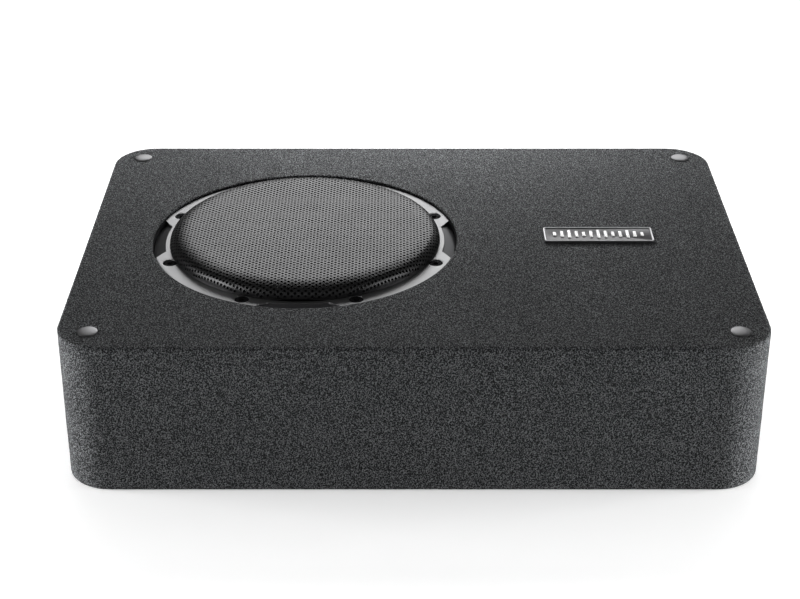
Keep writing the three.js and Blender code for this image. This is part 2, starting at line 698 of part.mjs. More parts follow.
function makePanel() {
  const flange = uprightSlab(
    roundedRectangle(PANEL_W, PANEL_H, PANEL_CORNER_R),
    PANEL_FACE - PANEL_T,
    PANEL_FACE,
  );
  const wellR = WELL_CORNER_R - GAP;
  const inset = 2 * (GAP + WELL_WALL);
  const tub = uprightSlab(
    roundedRectangle(WELL_W - 2 * GAP, WELL_H - 2 * GAP, wellR),
    WELL_BACK,
    PANEL_FACE - PANEL_T / 2,
  );
  const hollow = uprightSlab(
    roundedRectangle(WELL_W - inset, WELL_H - inset, wellR - WELL_WALL),
    WELL_FLOOR,
    PANEL_FACE + 1,
  );
  const through = [WELL_BACK - 1, WELL_FLOOR + 1];
  const slot = ({ x, z }, width, height) => {
    const reachX = width / 2 + GAP;
    const reachZ = height / 2 + GAP;
    return block([x - reachX, x + reachX], through, [z - reachZ, z + reachZ]);
  };
  const cuts = [
    hollow,
    slot(TERMINAL_AT, 30, 8),
    slot(FUSE_AT, 14, 3),
    slot(INPUT_AT, 24, 6),
    slot(SWITCH_AT, 10, 3),
    sideDisc(LIGHT_R + GAP, ...through, LIGHT_AT.x, LIGHT_AT.z),
    ...Object.values(KNOBS).map((x) => sideDisc(KNOB_SHAFT_R + GAP, ...through, x, KNOB_Z)),
  ];
  for (const [x, z] of panelScrewPlaces()) {
    const hole = countersunk(PANEL_FACE - 5, PANEL_FACE + 1, GAP);
    cuts.push(hole.translate(x - AMP_X, 0, z - WALL_MID));
  }
  const panel = combine(flange, { add: [tub], cut: cuts });
  addPiece("amp_panel", panel, "blackSteel", [AMP_X, 0, WALL_MID]);

  const screw = countersunk(PANEL_FACE - 11, PANEL_FACE - 0.2);
  const driver = block([-0.4, 0.4], [PANEL_FACE - 1, PANEL_FACE + 1], [-1.9, 1.9]);
  const cross = combine(screw, { cut: [driver, driver.clone().rotateY(Math.PI / 2)] });
  panelScrewPlaces().forEach(([x, z], i) => {
    addPiece("panel_screw_" + (i + 1), cross, "blackSteel", [x, 0, z]);
  });
}

function makeControls() {
  const at = [AMP_X, 0, WALL_MID];
  const seat = WELL_FLOOR + GAP;
  for (const [name, x] of Object.entries(KNOBS)) {
    const profile = [
      [0, BOARD_FACE + 2],
      [KNOB_SHAFT_R, BOARD_FACE + 2],
      [KNOB_SHAFT_R, seat],
      [KNOB_R, seat],
      [KNOB_R - 0.5, seat + 10],
      [0, seat + 10],
    ];
    const cap = turned(profile, SMALL_ROUND).rotateX(-Math.PI / 2);
    const pointer = block([-0.5, 0.5], [seat + 8.8, seat + 11], [1, KNOB_R + 1]);
    const knob = combine(cap, { cut: [pointer] });
    addPiece(name, knob, "blackPlastic", [AMP_X + x, 0, WALL_MID + KNOB_Z]);
  }
  const lever = block([-1.5, 1.5], [BOARD_FACE + 3.5, seat + 3.5], [-1.2, 1.2]);
  const leverAt = [AMP_X + SWITCH_AT.x - SWITCH_TRAVEL / 2, 0, WALL_MID + SWITCH_AT.z];
  addPiece("phase_switch", lever, "blackPlastic", leverAt);

  const foot = BOARD_FACE + GAP;
  const tip = seat + 2.2;
  const bulb = [[0, foot], [LIGHT_R, foot], [LIGHT_R, tip - 0.8], [LIGHT_R - 0.6, tip], [0, tip]];
  const lens = turned(bulb, 8).rotateX(-Math.PI / 2).translate(LIGHT_AT.x, 0, LIGHT_AT.z);
  addPiece("power_light", lens, "light", at);

  const { x: tx, z: tz } = TERMINAL_AT;
  const body = block([tx - 20, tx + 20], [seat, seat + 11], [tz - 10, tz + 10]);
  const pins = block([tx - 15, tx + 15], [foot, seat + 1], [tz - 4, tz + 4]);
  const mouths = [-TERMINAL_PITCH, 0, TERMINAL_PITCH].flatMap((x) => [
    block([tx + x - 4.5, tx + x + 4.5], [seat + 3, seat + 12], [tz - 8, tz + 1]),
    sideDisc(3.4, seat + 8, seat + 12, tx + x, tz + 5.6, 8),
  ]);
  addPiece("power_terminal", combine(body, { add: [pins], cut: mouths }), "blackPlastic", at);

  const { x: fx, z: fz } = FUSE_AT;
  const grip = block([fx - 9.5, fx + 9.5], [seat, seat + 7], [fz - 2.6, fz + 2.6]);
  const blades = [-6.5, 2.5].map((x) =>
    block([fx + x, fx + x + 4], [BOARD_FACE + 6, seat + 1], [fz - 0.5, fz + 0.5]),
  );
  addPiece("fuse", combine(grip, { add: blades }), "fusePlastic", at);

  const { x: ix, z: iz } = INPUT_AT;
  const base = block([ix - 17, ix + 17], [seat, seat + 3], [iz - 8, iz + 8]);
  const stalk = block([ix - 12, ix + 12], [foot, seat + 1], [iz - 3, iz + 3]);
  const sockets = [ix - INPUT_PITCH / 2, ix + INPUT_PITCH / 2];
  const barrels = sockets.map((x) => sideDisc(4.2, seat + 2, seat + 11, x, iz));
  const bores = sockets.map((x) => sideDisc(1.6, seat + 3, seat + 12, x, iz, 8));
  addPiece("line_input", combine(base, { add: [stalk, ...barrels], cut: bores }), "blackPlastic", at);
}

function makeAmplifier() {
  const at = [AMP_X, 0, WALL_MID];
  const shellFront = WELL_BACK - GAP;
  const shell = block([-71, 71], [COVER_FRONT, shellFront], [-25, 25]);
  const inside = block([-69.5, 69.5], [COVER_FRONT + 1.5, shellFront + 1], [-23.5, 23.5]);
  const grommet = disc(4.6, 60, 80).rotateY(-Math.PI / 2).translate(0, GROMMET_Y, 0);
  addPiece("amp_cover", combine(shell, { cut: [inside, grommet] }), "satinMetal", at);

  const boardBack = BOARD_FACE - 1.6;
  const plate = block([-66, 66], [boardBack, BOARD_FACE], [-22, 22]);
  const pots = Object.values(KNOBS).map((x) =>
    block([x - 6, x + 6], [BOARD_FACE - 1, WELL_BACK - GAP], [KNOB_Z - 6, KNOB_Z + 6]),
  );
  const bores = Object.values(KNOBS).map((x) =>
    sideDisc(KNOB_SHAFT_R + GAP, BOARD_FACE + 1.5, WELL_BACK + 1, x, KNOB_Z),
  );
  const { x: sx, z: sz } = SWITCH_AT;
  const switchBody = block([sx - 6, sx + 6], [BOARD_FACE - 1, BOARD_FACE + 6.5], [sz - 3, sz + 3]);
  const track = block([sx - 5, sx + 5], [BOARD_FACE + 3, BOARD_FACE + 7], [sz - 1.6, sz + 1.6]);
  const { x: fx, z: fz } = FUSE_AT;
  const holder = block([fx - 9, fx + 9], [BOARD_FACE - 1, BOARD_FACE + 10], [fz - 3, fz + 3]);
  const clips = block([fx - 7.5, fx + 7.5], [BOARD_FACE + 5, BOARD_FACE + 11], [fz - 1, fz + 1]);
  const add = [...pots, switchBody, holder];
  const board = combine(plate, { add, cut: [...bores, track, clips] });
  addPiece("amp_board", board, "circuit", at);

  const canFace = boardBack - GAP;
  for (const [name, x] of [["capacitor_left", 40], ["capacitor_right", 15]]) {
    addPiece(name, sideDisc(9, canFace - 26, canFace, x, 6, 16), "sleeve", at);
  }
  const choke = turned(arc([9, 0], 4.5, 0, 300, 5), 16);
  choke.rotateX(Math.PI / 2).translate(-20, canFace - 5, 0);
  addPiece("choke", choke, "copper", at);
}

makeFabric();
makeBoards();
makeCaps();
makeBadge();
makeBasket();
makeMotor();
makeMovingParts();
makeTerminalStrip();
makeGrille();
makeWooferScrews();
makePanel();
makeControls();
makeAmplifier();

export default part;
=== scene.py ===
import math

import bmesh
import bpy
from mathutils import Matrix, Vector, geometry, noise


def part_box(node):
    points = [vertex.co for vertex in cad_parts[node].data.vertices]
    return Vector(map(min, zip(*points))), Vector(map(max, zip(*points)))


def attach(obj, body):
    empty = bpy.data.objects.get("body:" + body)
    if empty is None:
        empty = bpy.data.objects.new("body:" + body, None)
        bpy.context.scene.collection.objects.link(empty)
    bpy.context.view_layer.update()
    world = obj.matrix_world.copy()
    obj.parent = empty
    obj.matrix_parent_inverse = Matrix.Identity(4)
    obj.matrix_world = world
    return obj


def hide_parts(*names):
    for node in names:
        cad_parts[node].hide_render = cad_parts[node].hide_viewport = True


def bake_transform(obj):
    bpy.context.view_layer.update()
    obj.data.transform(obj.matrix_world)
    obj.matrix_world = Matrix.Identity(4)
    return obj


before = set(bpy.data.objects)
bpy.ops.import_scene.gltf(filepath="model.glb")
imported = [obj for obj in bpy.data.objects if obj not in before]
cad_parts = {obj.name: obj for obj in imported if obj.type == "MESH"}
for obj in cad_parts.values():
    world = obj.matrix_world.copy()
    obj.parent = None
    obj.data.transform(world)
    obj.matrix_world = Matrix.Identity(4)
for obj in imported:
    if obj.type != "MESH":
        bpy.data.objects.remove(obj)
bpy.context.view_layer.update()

# Lengths below are millimetres, and become metres where a mesh is made.
MM = 0.001
TAU = 2 * math.pi
scene = bpy.context.scene


def node_box(name):
    return [Vector(corner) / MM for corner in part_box(name)]


# ---------------------------------------------------------------- materials

CARPET_DARK = (0.0004, 0.0005, 0.0006)
CARPET_MID = (0.0092, 0.0100, 0.0109)
CARPET_LIGHT = (0.113, 0.1165, 0.120)
# Noise is dull along its own grid planes, so the carpet's is turned away from the box's faces.
ASKEW = (0.61, 0.37, 0.83)
# Painted shade: parts of the woofer frame more than this depth below its top face, such as the notches and
# the screw recesses, are darkened by this tint.
RECESS_SHADE_DEPTH = 0.5
RECESS_SHADE_TINT = (0.49, 0.49, 0.50)


def add_node(tree, kind, values=None, links=None):
    """A shader node with these input values, and with these inputs linked."""
    node = tree.nodes.new("ShaderNode" + kind)
    for socket, value in (values or {}).items():
        node.inputs[socket].default_value = value
    for socket, source in (links or {}).items():
        tree.links.new(source, node.inputs[socket])
    return node


def object_coords(tree):
    return add_node(tree, "TexCoord").outputs["Object"]


def stretched(tree, coords, scale, turn=(0, 0, 0)):
    return add_node(tree, "Mapping", {"Scale": scale, "Rotation": turn}, {"Vector": coords}).outputs["Vector"]


def noise_node(tree, coords, scale, detail=2.0, roughness=0.5):
    values = {"Scale": scale, "Detail": detail, "Roughness": roughness}
    return add_node(tree, "TexNoise", values, {"Vector": coords}).outputs["Fac"]


def range_node(tree, value, low, high, to_low=0.0, to_high=1.0):
    """Carries a value from one range over to another."""
    values = {"From Min": low, "From Max": high, "To Min": to_low, "To Max": to_high}
    return add_node(tree, "MapRange", values, {"Value": value}).outputs["Result"]


def ramp_node(tree, factor, *stops):
    """Colours at places between 0 and 1. One number stands for a grey."""
    node = add_node(tree, "ValToRGB", links={"Fac": factor})
    elements = node.color_ramp.elements
    while len(elements) < len(stops):
        elements.new(0.5)
    for element, (place, colour) in zip(elements, stops):
        element.position = place
        element.color = (*(colour if isinstance(colour, tuple) else (colour,) * 3), 1)
    return node.outputs["Color"]


def multiplied(tree, a, b):
    node = add_node(tree, "Mix")
    node.data_type, node.blend_type = "RGBA", "MULTIPLY"
    node.inputs[0].default_value = 1.0
    tree.links.new(a, node.inputs[6])
    tree.links.new(b, node.inputs[7])
    return node.outputs[2]


def bump_node(tree, height, distance, before=None):
    """Relief of this depth, added to any relief before it."""
    links = {"Height": height} if before is None else {"Height": height, "Normal": before}
    return add_node(tree, "Bump", {"Distance": distance * MM, "Strength": 1.0}, links).outputs["Normal"]


def new_material(name):
    material = bpy.data.materials.new(name)
    material.use_nodes = True
    return material, material.node_tree, material.node_tree.nodes["Principled BSDF"].inputs


def grained(name, colour, grain, spread, rough, bump, metallic=0.0, large=None, specular=0.5,
            stretch=(1, 1, 1)):
    """A material whose colour, roughness and relief vary with a fine grain, in grains a metre,
    and whose colour drifts over a larger scale."""
    material, tree, shader = new_material(name)
    coords = object_coords(tree)
    fine = noise_node(tree, stretched(tree, coords, stretch), grain, 3.0, 0.6)
    tint = ramp_node(tree, fine, (0.3, tuple(c * (1 - spread) for c in colour)),
                     (0.7, tuple(c * (1 + spread) for c in colour)))
    if large:
        drift = ramp_node(tree, noise_node(tree, coords, large), (0.3, 0.86), (0.7, 1.0))
        tint = multiplied(tree, tint, drift)
    tree.links.new(tint, shader["Base Color"])
    tree.links.new(range_node(tree, fine, 0.0, 1.0, *rough), shader["Roughness"])
    shader["Metallic"].default_value = metallic
    shader["Specular IOR Level"].default_value = specular
    if bump:
        tree.links.new(bump_node(tree, fine, bump), shader["Normal"])
    return material


def cast_metal():
    """Cast metal with a machined face on top. Below the face, the frame's recesses are darkened with painted
    shade.
    """
    material = grained("satin_casting", (0.38, 0.38, 0.385), 2200, 0.06, (0.40, 0.48), 0.004, 1.0, 30)
    tree = material.node_tree
    base = tree.nodes["Principled BSDF"].inputs["Base Color"]
    height = add_node(tree, "SeparateXYZ", links={"Vector": object_coords(tree)}).outputs["Z"]
    face = node_box("woofer_basket")[1].z
    # Painted shade for the recesses: everything below the top face is darkened.
    depth = range_node(tree, height, (face - RECESS_SHADE_DEPTH) * MM, (face - RECESS_SHADE_DEPTH / 2) * MM)
    painted_shade = ramp_node(tree, depth, (0.0, RECESS_SHADE_TINT), (1.0, 1.0))
    tree.links.new(multiplied(tree, base.links[0].from_socket, painted_shade), base)
    return material


def pale_floor():
    """A white floor that glows faintly under the box and fully towards the horizon."""
    material = grained("pale_floor", (0.93, 0.93, 0.93), 40, 0.01, (0.7, 0.8), 0.0, specular=0.2)
    tree = material.node_tree
    reach = add_node(tree, "VectorMath", links={"Vector": object_coords(tree)})
    reach.operation = "LENGTH"
    glow = range_node(tree, reach.outputs["Value"], 0.9, 2.2, 0.29, 1.0)
    tree.links.new(glow, tree.nodes["Principled BSDF"].inputs["Emission Strength"])
    return material


def carpet():
    """Short-pile carpet: light and dark fibre ends under a millimetre across, with a low sheen."""
    material, tree, shader = new_material("carpet")
    coords = object_coords(tree)
    ends = noise_node(tree, stretched(tree, coords, (1, 0.62, 0.9), ASKEW), 1250.0, 2.0, 0.75)
    tufts = noise_node(tree, stretched(tree, coords, (1, 1, 1), ASKEW), 330.0)
    speckle = ramp_node(tree, ends, (0.42, CARPET_DARK), (0.50, CARPET_MID), (0.60, CARPET_LIGHT))
    clumps = ramp_node(tree, tufts, (0.3, 0.80), (0.7, 1.0))
    broad = ramp_node(tree, noise_node(tree, coords, 16.0), (0.3, 0.93), (0.7, 1.0))
    relief = bump_node(tree, ends, 0.5, bump_node(tree, tufts, 0.25))
    tree.links.new(multiplied(tree, multiplied(tree, speckle, clumps), broad), shader["Base Color"])
    tree.links.new(relief, shader["Normal"])
    for socket, value in {"Roughness": 0.95, "Specular IOR Level": 0.2, "Sheen Weight": 0.04,
                          "Sheen Roughness": 0.5}.items():
        shader[socket].default_value = value
    return material


# Each look: its slot in the record, and then its material as grained takes it: the name, colour,
# grain, spread, roughness, relief, metal, drift, specular level and stretch.
GRAINED = {
    "board": ("board", "fibreboard", (0.36, 0.24, 0.14), 900, 0.2, (0.75, 0.9), 0.08, 0.0, 20),
    "satin": ("satin_metal", "satin_metal", (0.25, 0.25, 0.256), 1600, 0.06, (0.34, 0.42), 0.004, 1.0, 60),
    "field": ("satin_metal", "brushed_field", (0.14, 0.14, 0.143), 900, 0.12, (0.32, 0.5), 0.004, 1.0, 40,
              0.5, (0.05, 1, 1)),
    "bright": ("bright_metal", "bright_metal", (0.46, 0.46, 0.47), 1200, 0.04, (0.26, 0.32), 0.002, 1.0, 60),
    "enamel": ("bright_metal", "white_enamel", (0.62, 0.62, 0.62), 1200, 0.03, (0.3, 0.4), 0.002),
    "grille": ("black_steel", "grille_coat", (0.101, 0.101, 0.103), 2600, 0.08, (0.32, 0.40), 0.004, 1.0, 40),
    "black_steel": ("black_steel", "black_coat", (0.020, 0.020, 0.021), 2000, 0.15, (0.35, 0.5), 0.01, 0.0,
                    40),
    "screw": ("black_steel", "black_oxide", (0.006, 0.006, 0.0063), 1500, 0.2, (0.6, 0.75), 0.01, 0.0, None,
              0.02),
    # Painted shade: the baffle board is near black so that the gap round the woofer frame shows as shade.
    "stained": ("board", "stained_board", (0.010, 0.010, 0.0105), 900, 0.3, (0.8, 0.95), 0.08, 0.0, None,
                0.2),
    "steel": ("steel", "zinc_steel", (0.52, 0.52, 0.54), 700, 0.12, (0.3, 0.45), 0.005, 1.0, 60),
    "ferrite": ("ferrite", "ferrite", (0.022, 0.021, 0.021), 1500, 0.25, (0.55, 0.75), 0.03, 0.0, 60),
    "rubber": ("rubber", "rubber", (0.014, 0.014, 0.015), 1500, 0.2, (0.5, 0.7), 0.02, 0.0, 60),
    "foam": ("foam", "foam", (0.025, 0.025, 0.026), 1300, 0.4, (0.9, 1.0), 0.25),
    "paper": ("cone_paper", "cone_paper", (0.20, 0.20, 0.205), 1100, 0.30, (0.7, 0.9), 0.06, 0.0, 60),
    "black_paper": ("cone_paper", "cap_paper", (0.014, 0.014, 0.015), 1100, 0.35, (0.6, 0.8), 0.04, 0.0, 60),
    "cloth": ("spider_cloth", "spider_cloth", (0.42, 0.24, 0.07), 1400, 0.3, (0.75, 0.9), 0.1, 0.0, 60),
    "copper": ("copper", "copper", (0.60, 0.27, 0.13), 1500, 0.15, (0.25, 0.4), 0.02, 1.0, 60),
    "plastic": ("plastic", "moulded_plastic", (0.012, 0.012, 0.013), 2400, 0.15, (0.4, 0.55), 0.015, 0.0, 60),
    "circuit": ("circuit", "solder_mask", (0.02, 0.13, 0.055), 420, 0.35, (0.3, 0.5), 0.03, 0.0, 90),
    "sleeve": ("sleeve", "capacitor_sleeve", (0.03, 0.045, 0.11), 500, 0.1, (0.25, 0.35), 0.004),
    "fuse": ("fuse_plastic", "fuse_plastic", (0.70, 0.30, 0.02), 500, 0.1, (0.15, 0.25), 0.004),
    "light": ("light", "lens", (0.04, 0.18, 0.70), 500, 0.1, (0.08, 0.15), 0.002),
    "wadding": ("wadding", "wadding", (0.68, 0.68, 0.64), 380, 0.15, (0.95, 1.0), 1.2, 0.0, 30),
    "marks": ("plastic", "printed_marks", (0.62, 0.62, 0.63), 900, 0.05, (0.5, 0.6), 0.0),
    "white_plastic": ("plastic", "white_plastic", (0.75, 0.75, 0.73), 1500, 0.04, (0.35, 0.45), 0.004),
    "red_plastic": ("plastic", "red_plastic", (0.55, 0.02, 0.02), 1500, 0.08, (0.35, 0.45), 0.004),
    "gold": ("plastic", "gold_plate", (0.85, 0.62, 0.26), 900, 0.06, (0.18, 0.28), 0.002, 1.0),
}
looks = {"carpet": (carpet(), "fabric"), "casting": (cast_metal(), "casting")}
looks.update({look: (grained(*values), slot) for look, (slot, *values) in GRAINED.items()})


# ---------------------------------------------------------------- mesh building

def bands(*rings):
    """Four-sided faces between rings of corner numbers."""
    return [[a[k], a[k + 1 - len(a)], b[k + 1 - len(b)], b[k]]
            for a, b in zip(rings, rings[1:]) for k in range(len(a))]


def around(centre, radius, height, steps=24):
    return [(centre[0] + radius * math.cos(TAU * k / steps), centre[1] + radius * math.sin(TAU * k / steps),
             height) for k in range(steps)]


def turned(profile, segments, closed=False):
    """A solid of revolution about Z. A point on the axis becomes one vertex."""
    verts, rings = [], []
    for radius, height in profile:
        ring = around((0, 0), radius, height, segments) if radius > 1e-6 else [(0, 0, height)]
        rings.append([len(verts) + k % len(ring) for k in range(segments)])
        verts += ring
    faces = [[c for i, c in enumerate(face) if c not in face[:i]] for face in bands(*rings, *rings[:closed])]
    return verts, [face for face in faces if len(face) > 2]


def lofted(loops, closed=False):
    """Joins loops of 3-D points that all have the same count, in a ring or with a face at each end."""
    count = len(loops[0])
    rings = [range(k * count, (k + 1) * count) for k in range(len(loops))]
    ends = [] if closed else [list(rings[0])[::-1], list(rings[-1])]
    return [p for loop in loops for p in loop], bands(*rings, *rings[:closed]) + ends


def soften(points, radius, steps=3):
    """Rounds each corner of a closed line of 2-D points."""
    out = []
    for before, point, after in zip(points[-1:] + points, points, points[1:] + points[:1]):
        corner = Vector(point)
        back, ahead = Vector(before) - corner, Vector(after) - corner
        reach = min(radius, 0.45 * back.length, 0.45 * ahead.length)
        start, end = corner + back.normalized() * reach, corner + ahead.normalized() * reach
        out += [tuple((1 - t) ** 2 * start + 2 * t * (1 - t) * corner + t * t * end)
                for t in (k / steps for k in range(steps + 1))]
    return out


def rounded_outline(width, depth, radius, steps=6):
    return [(sx * (width / 2 - radius) + radius * math.cos(angle),
             sy * (depth / 2 - radius) + radius * math.sin(angle))
            for k, (sx, sy) in enumerate(((1, 1), (-1, 1), (-1, -1), (1, -1)))
            for angle in (math.radians(90 * k + 90 * s / steps) for s in range(steps + 1))]


def oblong(centre, width, depth, radius, height, steps=5):
    return [(centre[0] + x, centre[1] + y, height) for x, y in rounded_outline(width, depth, radius, steps)]


def plate_loops(width, depth, radius, profile, steps=6):
    """Loops of a plate whose edge follows [inset, height] points."""
    return [[(x, y, height) for x, y in
             rounded_outline(width - 2 * inset, depth - 2 * inset, max(radius - inset, 0.05), steps)]
            for inset, height in profile]


def moved(shape, place=(0, 0, 0), matrix=Matrix.Identity(3)):
    verts, faces = shape
    return [tuple(matrix @ Vector(v) + Vector(place)) for v in verts], faces


def joined(*shapes):
    verts, faces = [], []
    for more_verts, more_faces in shapes:
        faces.extend([i + len(verts) for i in face] for face in more_faces)
        verts.extend(more_verts)
    return verts, faces


def soft_block(size, centre, edge=0.4, radius=0.6, steps=3):
    """A block with rounded upright corners and rounded top and bottom edges."""
    width, depth, height = size
    cut = edge * 0.3
    profile = [(edge, -height / 2), (cut, -height / 2 + cut), (0, -height / 2 + edge),
               (0, height / 2 - edge), (cut, height / 2 - cut), (edge, height / 2)]
    return moved(lofted(plate_loops(width, depth, max(radius, edge + 0.05), profile, steps)), centre)


class Shell:
    """A mesh put together from loops of points: bands between loops, and flat areas with holes."""

    def __init__(self):
        self.verts, self.faces = [], []

    def loop(self, points):
        self.verts += [tuple(p) for p in points]
        return list(range(len(self.verts) - len(points), len(self.verts)))

    def band(self, *loops):
        self.faces += bands(*loops)

    def area(self, outer, *holes):
        """Fills a level area. It is turned first, because the fill fails on corners in exact rows."""
        order = [i for loop in (outer, *holes) for i in loop]
        turn = Matrix.Rotation(0.217, 3, "Z")
        lines = [[turn @ Vector(self.verts[i]) for i in loop] for loop in (outer, *holes)]
        self.faces += [[order[i] for i in tri] for tri in geometry.tessellate_polygon(lines)]

    def shape(self):
        return self.verts, self.faces


def on_span(points, knots, t):
    """A centripetal spline's place at t, between its second and third points."""
    def between(a, b, i, j):
        return (a * (knots[j] - t) + b * (t - knots[i])) / (knots[j] - knots[i])

    first = [between(points[i], points[i + 1], i, i + 1) for i in range(3)]
    second = [between(first[i], first[i + 1], i, i + 2) for i in range(2)]
    return between(*second, 1, 2)


def curve_through(points, spacing, parts=24):
    """Evenly spaced places on a smooth curve through these points."""
    places = [Vector(p) for p in points]
    line = [2 * places[0] - places[1], *places, 2 * places[-1] - places[-2]]
    dense = []
    for span in zip(line, line[1:], line[2:], line[3:]):
        knots = [0.0]
        for p, q in zip(span, span[1:]):
            knots.append(knots[-1] + math.sqrt((q - p).length))
        dense += [on_span(span, knots, knots[1] + (knots[2] - knots[1]) * k / parts) for k in range(parts)]
    dense.append(places[-1])
    steps = [(q - p).length for p, q in zip(dense, dense[1:])]
    count = max(int(sum(steps) / spacing), 2)
    even, walked, i = [dense[0]], 0.0, 0
    for k in range(1, count):
        target = sum(steps) * k / count
        while walked + steps[i] < target:
            walked += steps[i]
            i += 1
        even.append(dense[i].lerp(dense[i + 1], (target - walked) / steps[i]))
    return even + [dense[-1]]


def tube(places, radius, sides=12, ribs=0, rib_depth=0.0, twist=0.0):
    """A closed tube along these places, whose skin may have twisted ribs."""
    loops, across, walked = [], Vector((0, 0, 1)), 0.0
    for before, place, after in zip(places[:1] + places, places, places[1:] + places[-1:]):
        ahead = (after - before).normalized()
        across = (across - ahead * across.dot(ahead)).normalized()
        over = ahead.cross(across)
        walked += (place - before).length
        loop = []
        for n in range(sides):
            angle = TAU * n / sides
            reach = radius - rib_depth * (0.5 - 0.5 * math.cos(ribs * angle + twist * walked))
            loop.append(tuple(place + (across * math.cos(angle) + over * math.sin(angle)) * reach))
        loops.append(loop)
    return lofted(loops)


def piece(name, shape, look, body="cabinet", stands_for=(), crease=38.0):
    """A mesh object with a look, which rides on a body, or on none."""
    verts, faces = shape
    mesh = bpy.data.meshes.new(name)
    mesh.from_pydata([(x * MM, y * MM, z * MM) for x, y, z in verts], [], faces)
    work = bmesh.new()
    work.from_mesh(mesh)
    bmesh.ops.recalc_face_normals(work, faces=work.faces)
    work.to_mesh(mesh)
    work.free()
    mesh.shade_smooth()
    mesh.set_sharp_from_angle(angle=math.radians(crease))
    material, slot = looks[look]
    mesh.materials.append(material)
    made = bpy.data.objects.new(name, mesh)
    scene.collection.objects.link(made)
    if body:
        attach(made, body)
    if stands_for:
        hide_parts(*stands_for)
    return made


# ---------------------------------------------------------------- where things are

top_low, top_high = node_box("top_fabric")
frame_low, frame_high = node_box("woofer_basket")
grille_low, grille_high = node_box("grille")
panel_low, panel_high = node_box("amp_panel")

BOX_W = top_high.x - top_low.x
BOX_D = top_high.y - top_low.y
BOX_TOP = top_high.z
CORNER_R = 29.0
WOOFER_X = (frame_low.x + frame_high.x) / 2
FLANGE_R = (frame_high.x - frame_low.x) / 2
FLANGE_TOP = frame_high.z
FLANGE_BOTTOM = FLANGE_TOP - 4.5
FLANGE_INNER_R = 88.0
HOLE_R = FLANGE_R + 0.5
GRILLE_R = (grille_high.x - grille_low.x) / 2
woofer_at = (WOOFER_X, 0, 0)


# ---------------------------------------------------------------- camera, stage and light

camera_data = bpy.data.cameras.new("camera")
camera_data.lens = 80.04
camera_data.sensor_width = 36.0
camera = bpy.data.objects.new("camera", camera_data)
camera.location = (-0.00877, -1.10213, 0.63390)
camera.rotation_euler = (math.radians(62.299), 0, 0)
scene.collection.objects.link(camera)
scene.camera = camera
scene.view_settings.view_transform = "Standard"
scene.view_settings.look = "None"

floor_mesh = bpy.data.meshes.new("floor")
floor_verts, floor_faces = turned([(0, 0), (600, 0), (3000, 0), (9000, 0)], 64)
floor_mesh.from_pydata([(x * MM, y * MM, -0.0003) for x, y, z in floor_verts], [], floor_faces)
floor_mesh.materials.append(pale_floor())
floor = bpy.data.objects.new("floor", floor_mesh)
scene.collection.objects.link(floor)


def soft_light(name, place, size, power, aim=(0, 0, 0.1), glossy=False, diffuse=True):
    data = bpy.data.lights.new(name, "AREA")
    data.shape = "RECTANGLE"
    data.size, data.size_y = size
    data.energy = power
    light = bpy.data.objects.new(name, data)
    light.location = place
    light.rotation_mode = "QUATERNION"
    light.rotation_quaternion = (Vector(aim) - Vector(place)).to_track_quat("-Z", "Y")
    light.visible_camera = False
    light.visible_glossy = glossy
    light.visible_diffuse = diffuse
    scene.collection.objects.link(light)


def card(name, azimuth, elevation, distance, size, power, diffuse=True):
    """A light that metals mirror, placed from the top of the box: azimuth 0 is straight back."""
    turn, rise = math.radians(azimuth), math.radians(elevation)
    place = (distance * math.sin(turn) * math.cos(rise), distance * math.cos(turn) * math.cos(rise),
             0.1 + distance * math.sin(rise))
    soft_light(name, place, size, power, glossy=True, diffuse=diffuse)


soft_light("overhead", (0, -0.1, 2.2), (3.0, 3.0), 18, (0, 0, 0))
soft_light("near_back", (0.0, 0.27, 0.23), (0.36, 0.06), 2.05, (0.0, 0.10, 0.1))
soft_light("left_light", (-1.1, -0.16, 0.07), (0.5, 0.14), 35.0, (-0.2, -0.1, 0.05))
soft_light("right_light", (1.1, -0.16, 0.07), (0.5, 0.14), 36.0, (0.2, -0.1, 0.05))
soft_light("front_fill", (0.0, -2.4, 0.9), (1.6, 0.8), 10.6, (0, 0, 0.05))
soft_light("floor_fill", (0.0, 1.5, 1.6), (2.4, 0.6), 18.0, (0, 0.9, 0.0))
card("back_card", 0.9, 24, 2.5, (1.44, 0.95), 14.9)
card("right_card", 30, 16, 2.5, (0.5, 0.6), 0.7)
card("front_card", 180, 40, 3.0, (2.4, 0.6), 1.2)
card("left_edge_card", -104, 25, 1.5, (0.7, 0.65), 6.2, diffuse=False)
card("right_edge_card", 104, 25, 1.5, (0.7, 0.65), 3.4, diffuse=False)

# The camera sees the world as white, and every other ray sees it as nearly dark.
world = bpy.data.worlds.new("studio")
scene.world = world
world.use_nodes = True
sky = world.node_tree
seen = add_node(sky, "LightPath").outputs["Is Camera Ray"]
sky.links.new(ramp_node(sky, seen, (0.0, 0.06), (1.0, 1.0)), sky.nodes["Background"].inputs["Color"])


# ---------------------------------------------------------------- carpet

CARPET_T = 1.9
PANEL_HOLE_R = 5.4
PANEL_HOLE_GAP = 0.8


def box_outline(count):
    """Evenly spaced [x, y, outward x, outward y] round the box."""
    half_w, half_d = BOX_W / 2 - CORNER_R, BOX_D / 2 - CORNER_R
    runs = [2 * half_d, math.pi / 2 * CORNER_R, 2 * half_w, math.pi / 2 * CORNER_R] * 2
    places = []
    for k in range(count):
        along, side = sum(runs) * k / count, 0
        while along > runs[side]:
            along -= runs[side]
            side += 1
        # Each side is worked out on the right, and then turned to its place.
        turn, in_corner = divmod(side, 2)
        x, y = (half_d, half_w) if turn % 2 else (half_w, half_d)
        if not in_corner:
            y -= runs[side] - along
        angle = along / CORNER_R if in_corner else 0.0
        nx, ny = math.cos(angle), math.sin(angle)
        place = Matrix.Rotation(turn * math.pi / 2, 2)
        spot = Vector((x + CORNER_R * nx, y + CORNER_R * ny))
        places.append((*(place @ spot), *(place @ Vector((nx, ny)))))
    return places


